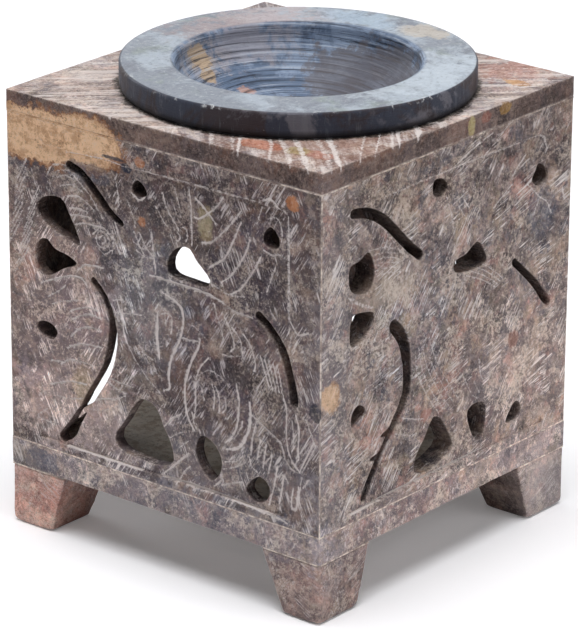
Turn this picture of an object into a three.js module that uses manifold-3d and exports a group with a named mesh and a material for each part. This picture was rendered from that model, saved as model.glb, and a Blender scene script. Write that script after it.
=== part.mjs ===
// Soapstone oil burner: a square lantern of fret-sawn stone slabs on four feet, with a loose turned
// dish in the hole of its top. A tea light goes in through the arched door and warms the dish from below.
// Millimetres, +Z up, origin at the middle of the ground that the feet stand on. The front is the -Y face
// and the door is in the -X face.
import * as THREE from "three";
import { mergeVertices } from "three/addons/utils/BufferGeometryUtils.js";
import Module from "manifold-3d";

const wasm = await Module();
wasm.setup();

// Box: outer footprint, slab thicknesses and heights
const BOX_WIDTH = 76; // along X
const BOX_DEPTH = 75; // along Y
const FOOT_HEIGHT = 11.8;
const BASE_THICKNESS = 5.2;
const PANEL_HEIGHT = 65.4;
const SIDE_PANEL_THICKNESS = 5; // right and left
const FRONT_PANEL_THICKNESS = 3; // front and back
const TOP_THICKNESS = 4;

// Joints: slabs are bonded with a bed of stone-dust cement, and a hairline is left where parts touch
const CEMENT_THICKNESS = 0.3;
const CEMENT_SETBACK = 0.15; // from the slab's edge back to the bed's edge
const HAIRLINE = 0.02; // the space left where one part touches another

// Feet: tapered blocks, flush with the box at their outer corner
const FOOT_TOP_WIDTH = 13.8;
const FOOT_SOLE_WIDTH = 10.5;
const FOOT_TOE_ROUND = 1.2;

// Carved field of a panel: a shallow pocket inside a raised frame
const FRAME_SIDE = 7.5;
const FRAME_TOP = 4.6;
const FRAME_BOTTOM = 1.7;
const FIELD_CORNER_RADIUS = 2.5;
const FIELD_DEPTH = 0.5;
const SAW_SLOT_WIDTH = 3; // the widest saw slot

// Door: an arch that stands on the base plate
const DOOR_WIDTH = 43;
const DOOR_SPRING_HEIGHT = 11.5; // from the panel's lower edge to where the arch starts to curve

// Dish: a turned disc with a bowl that hangs through the hole in the top plate
const DISH_RADIUS = 33.5;
const DISH_FLANGE_THICKNESS = 5.1;
const DISH_EDGE_BREAK = 0.4;
const BOWL_RADIUS = 22.9;
const BOWL_DEPTH = 12;
const BOWL_LIP_ROUND = 1.2;
const BOWL_WALL = 3.2; // stone under and around the bowl
const DISH_FOOT_RADIUS = 10;
const BELLY_FULLNESS_SHARE = 0.6; // how far the bowl's underside bulges before it turns up
const DISH_HOLE_CLEARANCE = 0.8; // radial, between the hanging bowl and the top plate
const DISH_HOLE_OFFSET = 1.6; // along X, from the middle of the box to the middle of the hole

// How far a cutter runs past the stone, and how finely round shapes are cut
const OVERRUN = 2;
const ROUND_SEGMENTS = 64;
const ARC_STEPS = 6;
const OPENING_STEPS = 24;
const SLOT_STEPS = 18;

// Heights of the stack
const BASE_BOTTOM = FOOT_HEIGHT + CEMENT_THICKNESS;
const BASE_TOP = BASE_BOTTOM + BASE_THICKNESS;
const PANEL_BOTTOM = BASE_TOP + CEMENT_THICKNESS;
const PANEL_TOP = PANEL_BOTTOM + PANEL_HEIGHT;
const TOP_BOTTOM = PANEL_TOP + CEMENT_THICKNESS;
const TOP_FACE = TOP_BOTTOM + TOP_THICKNESS;
const DISH_SEAT = TOP_FACE + HAIRLINE;

// The panels meet in mitres as deep as the thinner panel is thick
const MITRE_DEPTH = Math.min(SIDE_PANEL_THICKNESS, FRONT_PANEL_THICKNESS);

// The cement beds' own thickness, between two hairlines
const BED_THICKNESS = CEMENT_THICKNESS - 2 * HAIRLINE;

// The hanging bowl's outer radius, and the hole that takes it
const DISH_BOSS_RADIUS = BOWL_RADIUS + BOWL_WALL;
const DISH_HOLE_RADIUS = DISH_BOSS_RADIUS + DISH_HOLE_CLEARANCE;

// Sawn openings, as shares of the panel's width and height from its lower left corner, seen from
// outside. Each is a smooth loop through its points. They leave a walking elephant that faces left.
const FRONT_OPENING_SHARES = {
  above_brow_shares: [[0.092, 0.733], [0.11, 0.765], [0.175, 0.778], [0.198, 0.74], [0.225, 0.685],
    [0.235, 0.652], [0.184, 0.663], [0.125, 0.684]],
  before_brow_shares: [[0.125, 0.643], [0.101, 0.637], [0.087, 0.6], [0.095, 0.543], [0.12, 0.529],
    [0.18, 0.568], [0.224, 0.592], [0.194, 0.61], [0.145, 0.621]],
  before_trunk_shares: [[0.086, 0.374], [0.106, 0.388], [0.142, 0.381], [0.154, 0.362], [0.133, 0.336],
    [0.097, 0.35]],
  between_legs_shares: [[0.432, 0.243], [0.478, 0.229], [0.503, 0.177], [0.528, 0.127], [0.532, 0.075],
    [0.492, 0.056], [0.417, 0.055], [0.35, 0.072], [0.341, 0.101], [0.372, 0.154], [0.4, 0.206]],
  behind_knee_shares: [[0.622, 0.188], [0.662, 0.177], [0.689, 0.13], [0.68, 0.087], [0.655, 0.062],
    [0.62, 0.093], [0.604, 0.139]],
  behind_heel_shares: [[0.811, 0.122], [0.839, 0.096], [0.83, 0.058], [0.795, 0.042], [0.765, 0.067],
    [0.78, 0.101]],
  over_back_shares: [[0.545, 0.727], [0.585, 0.739], [0.61, 0.708], [0.653, 0.66], [0.642, 0.64],
    [0.58, 0.636], [0.52, 0.646], [0.516, 0.681]],
  in_corner_shares: [[0.84, 0.869], [0.865, 0.846], [0.865, 0.817], [0.843, 0.808], [0.819, 0.818],
    [0.82, 0.847]],
  over_head_shares: [[0.422, 0.896], [0.441, 0.886], [0.453, 0.862], [0.435, 0.849], [0.41, 0.853],
    [0.405, 0.876]],
};
const RIGHT_OPENING_SHARES = {
  above_brow_shares: [[0.117, 0.76], [0.148, 0.765], [0.188, 0.782], [0.204, 0.756], [0.212, 0.707],
    [0.189, 0.666], [0.128, 0.681], [0.11, 0.717]],
  before_brow_shares: [[0.128, 0.611], [0.167, 0.611], [0.21, 0.597], [0.21, 0.571], [0.173, 0.533],
    [0.125, 0.521], [0.117, 0.563]],
  before_trunk_shares: [[0.15, 0.34], [0.175, 0.33], [0.183, 0.311], [0.158, 0.294], [0.13, 0.282],
    [0.128, 0.317]],
  between_legs_shares: [[0.454, 0.2], [0.483, 0.185], [0.51, 0.143], [0.534, 0.084], [0.492, 0.055],
    [0.425, 0.041], [0.38, 0.055], [0.381, 0.097], [0.42, 0.151]],
  behind_knee_shares: [[0.593, 0.169], [0.628, 0.182], [0.665, 0.168], [0.669, 0.119], [0.657, 0.072],
    [0.633, 0.064], [0.604, 0.11]],
  behind_heel_shares: [[0.795, 0.129], [0.818, 0.11], [0.815, 0.081], [0.787, 0.067], [0.754, 0.077],
    [0.77, 0.107]],
  over_back_shares: [[0.525, 0.643], [0.575, 0.655], [0.62, 0.678], [0.645, 0.649], [0.66, 0.608],
    [0.628, 0.597], [0.53, 0.614]],
  in_corner_shares: [[0.864, 0.837], [0.896, 0.82], [0.901, 0.779], [0.868, 0.77], [0.84, 0.795],
    [0.855, 0.82]],
  over_head_shares: [[0.44, 0.912], [0.478, 0.907], [0.494, 0.883], [0.47, 0.857], [0.438, 0.872]],
};

// Saw slots: a centre line in the same shares, and the slot's width at each of its points as a share
// of the widest slot.
const FRONT_SLOT_SHARES = {
  brow: {
    lineShares: [[0.201, 0.884], [0.242, 0.869], [0.294, 0.818], [0.33, 0.779], [0.369, 0.754]],
    widthShares: [0.6, 0.57, 0.62, 0.58, 0.42],
  },
  trunk: {
    lineShares: [[0.277, 0.556], [0.313, 0.516], [0.336, 0.455], [0.337, 0.385], [0.317, 0.3],
      [0.284, 0.236], [0.256, 0.188], [0.234, 0.16], [0.2, 0.1], [0.17, 0.046]],
    widthShares: [0.53, 0.5, 0.55, 0.8, 0.8, 0.78, 0.72, 0.3, 0.45, 0.77],
  },
  trunk_tip: {
    lineShares: [[0.247, 0.143], [0.224, 0.11], [0.205, 0.075], [0.185, 0.049]],
    widthShares: [0.08, 0.4, 0.6, 0.5],
  },
  tail: {
    lineShares: [[0.805, 0.6], [0.84, 0.572], [0.884, 0.507], [0.909, 0.429], [0.918, 0.379]],
    widthShares: [0.63, 0.57, 0.7, 0.73, 0.73],
  },
};
const RIGHT_SLOT_SHARES = {
  brow: {
    lineShares: [[0.126, 0.911], [0.185, 0.895], [0.245, 0.856], [0.3, 0.798], [0.345, 0.749],
      [0.388, 0.71]],
    widthShares: [0.63, 0.68, 0.73, 0.72, 0.7, 0.67],
  },
  trunk: {
    lineShares: [[0.289, 0.53], [0.315, 0.498], [0.335, 0.449], [0.344, 0.377], [0.34, 0.31],
      [0.302, 0.246], [0.256, 0.182], [0.216, 0.123], [0.195, 0.085], [0.179, 0.055]],
    widthShares: [0.9, 1, 0.97, 0.83, 0.77, 0.67, 0.53, 0.57, 0.65, 0.65],
  },
  low_notch: { lineShares: [[0.202, 0.159], [0.237, 0.158]], widthShares: [0.13, 0.63] },
  high_notch: { lineShares: [[0.245, 0.214], [0.277, 0.219]], widthShares: [0.13, 0.63] },
  tail: {
    lineShares: [[0.775, 0.565], [0.826, 0.514], [0.868, 0.469], [0.897, 0.426], [0.915, 0.401]],
    widthShares: [0.53, 0.53, 0.6, 0.62, 0.6],
  },
};

// The corners in order, each a quarter turn on from the last: the signs of X and Y, and the hand-cut
// foot's widths along its two outer sides, as shares of the foot's top and sole widths.
const CORNERS = [
  { name: "front_left", signs: [-1, -1], topShares: [0.96, 1], soleShares: [0.95, 1.08] },
  { name: "front_right", signs: [1, -1], topShares: [1.06, 1], soleShares: [1.1, 0.86] },
  { name: "back_right", signs: [1, 1], topShares: [1, 1.07], soleShares: [1, 1.07] },
  { name: "back_left", signs: [-1, 1], topShares: [1, 0.98], soleShares: [1, 0.97] },
];

const boxStone = new THREE.MeshStandardMaterial({ color: 0x6f6260, roughness: 0.72, metalness: 0 });
const topStone = new THREE.MeshStandardMaterial({ color: 0x8a7d78, roughness: 0.72, metalness: 0 });
const footStone = new THREE.MeshStandardMaterial({ color: 0x7a625a, roughness: 0.75, metalness: 0 });
const dishStone = new THREE.MeshStandardMaterial({ color: 0x59636d, roughness: 0.6, metalness: 0 });
const cement = new THREE.MeshStandardMaterial({ color: 0xa89c94, roughness: 0.9, metalness: 0 });

// A closed three.js geometry as a solid that can be cut and joined.
function toSolid(geometry) {
  const bare = geometry.clone();
  bare.deleteAttribute("normal");
  bare.deleteAttribute("uv");
  const merged = mergeVertices(bare);
  return new wasm.Manifold(
    new wasm.Mesh({
      numProp: 3,
      vertProperties: merged.attributes.position.array,
      triVerts: new Uint32Array(merged.index.array),
    }),
  );
}

// The solid back as a three.js geometry.
function toGeometry(solid) {
  const mesh = solid.getMesh();
  return new THREE.BufferGeometry()
    .setAttribute("position", new THREE.BufferAttribute(new Float32Array(mesh.vertProperties), 3))
    .setIndex(new THREE.BufferAttribute(new Uint32Array(mesh.triVerts), 1));
}

function namedMesh(name, geometry, material) {
  const mesh = new THREE.Mesh(geometry, material);
  mesh.name = name;
  return mesh;
}

function rectangle(left, bottom, right, top) {
  return new THREE.Shape([
    new THREE.Vector2(left, bottom),
    new THREE.Vector2(right, bottom),
    new THREE.Vector2(right, top),
    new THREE.Vector2(left, top),
  ]);
}

// A flat outline drawn in plan and raised from height 0.
function raised(shape, height, curveSegments = ARC_STEPS) {
  return new THREE.ExtrudeGeometry(shape, { depth: height, bevelEnabled: false, curveSegments });
}

// A flat outline drawn on an upright face and carried inwards from one depth to another. The face's
// own frame has X across it, Y inwards and Z up.
function carriedInwards(shape, fromDepth, toDepth) {
  return raised(shape, toDepth - fromDepth).rotateX(Math.PI / 2).translate(0, toDepth, 0);
}

// A square ring in plan: the panels' footprint, narrower by a setback on both sides.
function footprintRing(setback) {
  const sized = (fromSide, fromFront) => {
    const [halfX, halfY] = [BOX_WIDTH / 2 - fromSide, BOX_DEPTH / 2 - fromFront];
    return rectangle(-halfX, -halfY, halfX, halfY);
  };
  const ring = sized(setback, setback);
  ring.holes.push(sized(SIDE_PANEL_THICKNESS - setback, FRONT_PANEL_THICKNESS - setback));
  return ring;
}

function pointOnPanel([acrossShare, upShare], width) {
  return new THREE.Vector2((acrossShare - 0.5) * width, upShare * PANEL_HEIGHT);
}

// A smooth closed loop through points given as shares of the panel.
function openingOutline(shares, width) {
  const points = shares.map((share) => pointOnPanel(share, width));
  const loop = new THREE.CatmullRomCurve3(points.map(({ x, y }) => new THREE.Vector3(x, y, 0)), true);
  const steps = loop.getSpacedPoints(OPENING_STEPS).slice(1);
  return new THREE.Shape(steps.map(({ x, y }) => new THREE.Vector2(x, y)));
}

// A slot's half width at a fraction of its length, between the widths at its points.
function slotReach(widthShares, fraction) {
  const place = fraction * (widthShares.length - 1);
  const before = Math.min(Math.floor(place), widthShares.length - 2);
  const share = THREE.MathUtils.lerp(widthShares[before], widthShares[before + 1], place - before);
  return (SAW_SLOT_WIDTH * share) / 2;
}

// A slot of changing width along a smooth centre line, with round ends.
function slotOutline({ lineShares, widthShares }, width) {
  const curve = new THREE.SplineCurve(lineShares.map((share) => pointOnPanel(share, width)));
  const edgePoint = (fraction, turn) => {
    const heading = curve.getTangent(fraction).angle() + turn;
    const reach = slotReach(widthShares, fraction);
    const offset = new THREE.Vector2(Math.cos(heading), Math.sin(heading)).multiplyScalar(reach);
    return curve.getPoint(fraction).add(offset);
  };
  const fractions = Array.from({ length: SLOT_STEPS + 1 }, (_, i) => i / SLOT_STEPS);
  const turns = Array.from({ length: ARC_STEPS - 1 }, (_, i) => (Math.PI * (i + 1)) / ARC_STEPS);
  return new THREE.Shape([
    ...fractions.map((fraction) => edgePoint(fraction, -Math.PI / 2)),
    ...turns.map((turn) => edgePoint(1, turn - Math.PI / 2)),
    ...fractions.toReversed().map((fraction) => edgePoint(fraction, Math.PI / 2)),
    ...turns.map((turn) => edgePoint(0, turn + Math.PI / 2)),
  ]);
}

// The carved field's outline, with its two upper corners rounded.
function fieldOutline(width) {
  const right = width / 2 - FRAME_SIDE;
  const top = PANEL_HEIGHT - FRAME_TOP;
  const [turnX, turnY] = [right - FIELD_CORNER_RADIUS, top - FIELD_CORNER_RADIUS];
  const shape = new THREE.Shape();
  shape.moveTo(-right, FRAME_BOTTOM);
  shape.lineTo(right, FRAME_BOTTOM);
  shape.lineTo(right, turnY);
  shape.absarc(turnX, turnY, FIELD_CORNER_RADIUS, 0, Math.PI / 2);
  shape.lineTo(-turnX, top);
  shape.absarc(-turnX, turnY, FIELD_CORNER_RADIUS, Math.PI / 2, Math.PI);
  return shape;
}

// The arch of the door, from below the panel's lower edge up.
function doorOutline() {
  const half = DOOR_WIDTH / 2;
  const shape = new THREE.Shape();
  shape.moveTo(-half, -OVERRUN);
  shape.lineTo(half, -OVERRUN);
  shape.lineTo(half, DOOR_SPRING_HEIGHT);
  shape.absarc(0, DOOR_SPRING_HEIGHT, half, 0, Math.PI);
  return shape;
}

// A panel slab whose two upright edges are mitred, short of the corner by half the cement there. A
// thick slab's edges run on square behind the thin slab that it meets.
function mitredSlab(width, thickness) {
  const half = width / 2 - CEMENT_THICKNESS / Math.SQRT2;
  const inner = half - MITRE_DEPTH;
  const plan = new THREE.Shape();
  plan.moveTo(-half, 0);
  plan.lineTo(half, 0);
  plan.lineTo(inner, MITRE_DEPTH);
  if (thickness > MITRE_DEPTH) {
    plan.lineTo(inner, thickness);
    plan.lineTo(-inner, thickness);
  }
  plan.lineTo(-inner, MITRE_DEPTH);
  return toSolid(raised(plan, PANEL_HEIGHT));
}

function cutThrough(slab, outlines, thickness) {
  return outlines.reduce((solid, outline) => {
    const cutter = carriedInwards(outline, -OVERRUN, thickness + OVERRUN);
    return solid.subtract(toSolid(cutter));
  }, slab);
}

// A fret-sawn panel: a shallow carved field, its openings and its saw slots.
function fretPanel(width, thickness, openings, slots) {
  const field = toSolid(carriedInwards(fieldOutline(width), -OVERRUN, FIELD_DEPTH));
  const outlines = [
    ...Object.values(openings).map((shares) => openingOutline(shares, width)),
    ...Object.values(slots).map((slot) => slotOutline(slot, width)),
  ];
  return toGeometry(cutThrough(mitredSlab(width, thickness).subtract(field), outlines, thickness));
}

// The plain panel with the arched door that takes a tea light.
function doorPanel(width, thickness) {
  return toGeometry(cutThrough(mitredSlab(width, thickness), [doorOutline()], thickness));
}

function basePlate() {
  return new THREE.BoxGeometry(BOX_WIDTH, BOX_DEPTH, BASE_THICKNESS).translate(0, 0, BASE_THICKNESS / 2);
}

// The top plate, with the round hole that the dish hangs through, a little off the middle.
function topPlate() {
  const outline = rectangle(-BOX_WIDTH / 2, -BOX_DEPTH / 2, BOX_WIDTH / 2, BOX_DEPTH / 2);
  outline.holes.push(new THREE.Path().absarc(DISH_HOLE_OFFSET, 0, DISH_HOLE_RADIUS, 0, Math.PI * 2));
  return raised(outline, TOP_THICKNESS, ROUND_SEGMENTS / 2);
}

// One side view of a foot: upright outside, sloping inside, with a rounded toe and heel.
function footProfile(topWidth, soleWidth) {
  const shape = new THREE.Shape();
  shape.moveTo(0, FOOT_HEIGHT);
  shape.lineTo(0, FOOT_TOE_ROUND);
  shape.quadraticCurveTo(0, 0, FOOT_TOE_ROUND, 0);
  shape.lineTo(soleWidth - FOOT_TOE_ROUND, 0);
  shape.quadraticCurveTo(soleWidth, 0, soleWidth, FOOT_TOE_ROUND);
  shape.lineTo(topWidth, FOOT_HEIGHT);
  return shape;
}

// A foot with its outer corner at the origin and its body towards +X and +Y: the stone that two side
// views share.
function foot({ topShares, soleShares }) {
  const [alongX, alongY] = [0, 1].map((side) => {
    const profile = footProfile(FOOT_TOP_WIDTH * topShares[side], FOOT_SOLE_WIDTH * soleShares[side]);
    const reach = FOOT_TOP_WIDTH * Math.max(...topShares) + OVERRUN;
    return carriedInwards(profile, -reach, reach);
  });
  return toGeometry(toSolid(alongX).intersect(toSolid(alongY.rotateZ(Math.PI / 2))));
}

// The dish, in its seat at height 0: a flange that lies on the top plate, and a bowl that hangs
// through the hole.
function dish() {
  const top = DISH_FLANGE_THICKNESS;
  const underside = top - BOWL_DEPTH - BOWL_WALL;
  const lipHeight = top - BOWL_LIP_ROUND;
  const profile = new THREE.Path();
  profile.moveTo(0, underside);
  profile.lineTo(DISH_FOOT_RADIUS, underside);
  profile.bezierCurveTo(
    THREE.MathUtils.lerp(DISH_FOOT_RADIUS, DISH_BOSS_RADIUS, BELLY_FULLNESS_SHARE),
    underside,
    DISH_BOSS_RADIUS,
    (underside - TOP_THICKNESS) / 2,
    DISH_BOSS_RADIUS,
    -TOP_THICKNESS,
  );
  profile.lineTo(DISH_BOSS_RADIUS, 0);
  profile.lineTo(DISH_RADIUS - DISH_EDGE_BREAK, 0);
  profile.lineTo(DISH_RADIUS, DISH_EDGE_BREAK);
  profile.lineTo(DISH_RADIUS, top - DISH_EDGE_BREAK);
  profile.lineTo(DISH_RADIUS - DISH_EDGE_BREAK, top);
  profile.lineTo(BOWL_RADIUS + BOWL_LIP_ROUND, top);
  profile.quadraticCurveTo(BOWL_RADIUS, top, BOWL_RADIUS, lipHeight);
  profile.absellipse(0, lipHeight, BOWL_RADIUS, lipHeight - top + BOWL_DEPTH, 0, -Math.PI / 2, true);
  const turned = new THREE.LatheGeometry(profile.getPoints(ARC_STEPS), ROUND_SEGMENTS);
  return toGeometry(toSolid(turned.rotateX(Math.PI / 2)));
}

// The square bed under the panels, left out across the doorway.
function baseCement() {
  const doorway = rectangle(
    -BOX_WIDTH / 2 - OVERRUN,
    -DOOR_WIDTH / 2 - CEMENT_SETBACK,
    -BOX_WIDTH / 2 + SIDE_PANEL_THICKNESS + OVERRUN,
    DOOR_WIDTH / 2 + CEMENT_SETBACK,
  );
  const bed = toSolid(squareBed());
  const gap = raised(doorway, CEMENT_THICKNESS + OVERRUN).translate(0, 0, -OVERRUN);
  return toGeometry(bed.subtract(toSolid(gap)));
}

// A square bed as wide as the panels' edges, less the setback on both sides.
function squareBed() {
  return raised(footprintRing(CEMENT_SETBACK), BED_THICKNESS);
}

// The upright bed in a mitred corner, along the diagonal from the corner inwards.
function cornerCement() {
  const corner = CEMENT_THICKNESS / 2;
  const inner = MITRE_DEPTH * Math.SQRT2 + corner;
  const plan = rectangle(
    corner + CEMENT_SETBACK,
    -BED_THICKNESS / 2,
    inner - CEMENT_SETBACK,
    BED_THICKNESS / 2,
  );
  return raised(plan, PANEL_HEIGHT).rotateZ(Math.PI / 4);
}

// The bed between a foot and the base plate, set back from the foot's edges.
function footCement({ topShares }) {
  const [wide, deep] = topShares.map((share) => FOOT_TOP_WIDTH * share - CEMENT_SETBACK);
  return raised(rectangle(CEMENT_SETBACK, CEMENT_SETBACK, wide, deep), BED_THICKNESS);
}

const burner = new THREE.Group();

// Adds a level piece at its own height.
function stack(name, geometry, material, height) {
  const mesh = namedMesh(name, geometry, material);
  mesh.position.z = height;
  burner.add(mesh);
}

stack("base_plate", basePlate(), boxStone, BASE_BOTTOM);
stack("cement_base", baseCement(), cement, BASE_TOP + HAIRLINE);
stack("cement_top", squareBed(), cement, PANEL_TOP + HAIRLINE);
stack("top_plate", topPlate(), topStone, TOP_BOTTOM);
stack("dish", dish().translate(DISH_HOLE_OFFSET, 0, 0), dishStone, DISH_SEAT);

// The four panels, each a quarter turn on from the last, from the front round to the right. The back
// has the front's carving.
const frontStyle = fretPanel(
  BOX_WIDTH,
  FRONT_PANEL_THICKNESS,
  FRONT_OPENING_SHARES,
  FRONT_SLOT_SHARES,
);
const rightStyle = fretPanel(
  BOX_DEPTH,
  SIDE_PANEL_THICKNESS,
  RIGHT_OPENING_SHARES,
  RIGHT_SLOT_SHARES,
);
const PANELS = [
  { name: "front_panel", geometry: frontStyle, boxSpan: BOX_DEPTH },
  { name: "right_panel", geometry: rightStyle, boxSpan: BOX_WIDTH },
  { name: "back_panel", geometry: frontStyle.clone(), boxSpan: BOX_DEPTH },
  { name: "door_panel", geometry: doorPanel(BOX_DEPTH, SIDE_PANEL_THICKNESS), boxSpan: BOX_WIDTH },
];
PANELS.forEach(({ name, geometry, boxSpan }, quarter) => {
  const side = new THREE.Group();
  side.rotation.z = (quarter * Math.PI) / 2;
  const panel = namedMesh(name, geometry, boxStone);
  panel.position.set(0, -boxSpan / 2, PANEL_BOTTOM);
  side.add(panel);
  burner.add(side);
});

// The feet, and the cement above them and in the corners.
CORNERS.forEach((corner, quarter) => {
  const group = new THREE.Group();
  group.position.set((corner.signs[0] * BOX_WIDTH) / 2, (corner.signs[1] * BOX_DEPTH) / 2, 0);
  group.rotation.z = (quarter * Math.PI) / 2;
  const bed = namedMesh(`cement_foot_${corner.name}`, footCement(corner), cement);
  bed.position.z = FOOT_HEIGHT + HAIRLINE;
  const upright = namedMesh(`cement_corner_${corner.name}`, cornerCement(), cement);
  upright.position.z = PANEL_BOTTOM;
  group.add(namedMesh(`foot_${corner.name}`, foot(corner), footStone), bed, upright);
  burner.add(group);
});

export default burner;
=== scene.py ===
# %% [markdown]
# # A carved soapstone oil burner
#
# The real burner is a small box: six slabs of soapstone, cemented edge to edge on four short feet.
# Three walls are sawn and scratched with an elephant, the fourth has an arched door for a tea
# light, and a turned dish hangs through the top. This lesson dresses a finished CAD model of it.
# The CAD model is loaded first and never changes. Each new piece starts from it, so that every
# slab stays where it was measured.

# %% Load the measured model
import math

import bmesh
import bpy
from mathutils import Matrix, Vector, kdtree, noise


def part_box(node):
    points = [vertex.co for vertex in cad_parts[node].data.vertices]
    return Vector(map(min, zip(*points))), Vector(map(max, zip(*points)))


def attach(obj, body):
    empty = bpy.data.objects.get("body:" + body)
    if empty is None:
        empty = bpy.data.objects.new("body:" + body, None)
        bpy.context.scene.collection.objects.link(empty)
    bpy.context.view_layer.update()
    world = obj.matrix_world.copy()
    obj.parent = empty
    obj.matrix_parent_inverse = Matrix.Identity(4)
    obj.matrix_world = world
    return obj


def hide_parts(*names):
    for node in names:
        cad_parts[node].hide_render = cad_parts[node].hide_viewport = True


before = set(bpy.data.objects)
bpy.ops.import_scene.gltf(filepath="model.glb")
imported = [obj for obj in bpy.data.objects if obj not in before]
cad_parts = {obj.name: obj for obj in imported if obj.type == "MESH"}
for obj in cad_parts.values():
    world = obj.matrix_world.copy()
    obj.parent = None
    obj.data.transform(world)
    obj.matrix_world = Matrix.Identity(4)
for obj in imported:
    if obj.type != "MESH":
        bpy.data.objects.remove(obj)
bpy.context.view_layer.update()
MM = 0.001                      # every size below is in millimetres, times this
print("measured pieces:", len(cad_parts))

# %% [markdown]
# ## The camera
#
# The photograph was taken from the corner between two carved walls, a little above the dish, with a
# long lens that keeps the uprights nearly parallel. The camera is placed by its angles round the
# box, and then turned a third of a degree about its own axis, because the picture leans that much.

# %% Place the camera
X_AXIS, Y_AXIS, Z_AXIS = Vector((1, 0, 0)), Vector((0, 1, 0)), Vector((0, 0, 1))
CAMERA_AZIMUTH = math.radians(39.503)      # from the front, towards the right wall
CAMERA_ELEVATION = math.radians(20.811)
CAMERA_LEAN = math.radians(0.3)
CAMERA_DISTANCE = 802.47 * MM
CAMERA_LENS, FILM = 236.28, 36             # in millimetres: the lens, and the film's longer side
AIM = Vector((-0.335, 0, 39.625)) * MM


def direction(azimuth, elevation):
    """The way from the burner to a place seen at these angles."""
    return Vector((math.sin(azimuth) * math.cos(elevation),
                   -math.cos(azimuth) * math.cos(elevation), math.sin(elevation)))


def look_at(thing, place, target, lean=0.0):
    """Stand a camera or lamp at a place and turn it to a target."""
    turn = (target - place).to_track_quat("-Z", "Y").to_matrix().to_4x4()
    thing.matrix_world = Matrix.Translation(place) @ turn @ Matrix.Rotation(lean, 4, "Z")


lens = bpy.data.cameras.new("long_lens")
lens.lens, lens.sensor_width = CAMERA_LENS, FILM
lens.clip_start, lens.clip_end = 10 * MM, 10000 * MM
camera = bpy.data.objects.new("camera", lens)
bpy.context.scene.collection.objects.link(camera)
look_at(camera, AIM + direction(CAMERA_AZIMUTH, CAMERA_ELEVATION) * CAMERA_DISTANCE, AIM, CAMERA_LEAN)
bpy.context.scene.camera = camera
bpy.context.scene.view_settings.view_transform = "Standard"
print("camera stands", round(CAMERA_DISTANCE / MM), "mm away")

# %% [markdown]
# ## Recipes for materials
#
# Each finish is built from shader nodes. Writing out every link by hand is long, so one small
# helper, a recipe, adds nodes and joins them. Patterns are placed by Object coordinates turned to
# millimetres, so that a scale of 0.5 means one blotch about every 2 mm, on every piece alike.

# %% A helper that writes shader nodes
def srgb(red, green, blue):
    """A colour as a paint chart gives it, 0 to 255, turned to the light it stands for."""
    light = [c / 12.92 if c <= 0.04045 else ((c + 0.055) / 1.055) ** 2.4
             for c in (red / 255, green / 255, blue / 255)]
    return (*light, 1)


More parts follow.
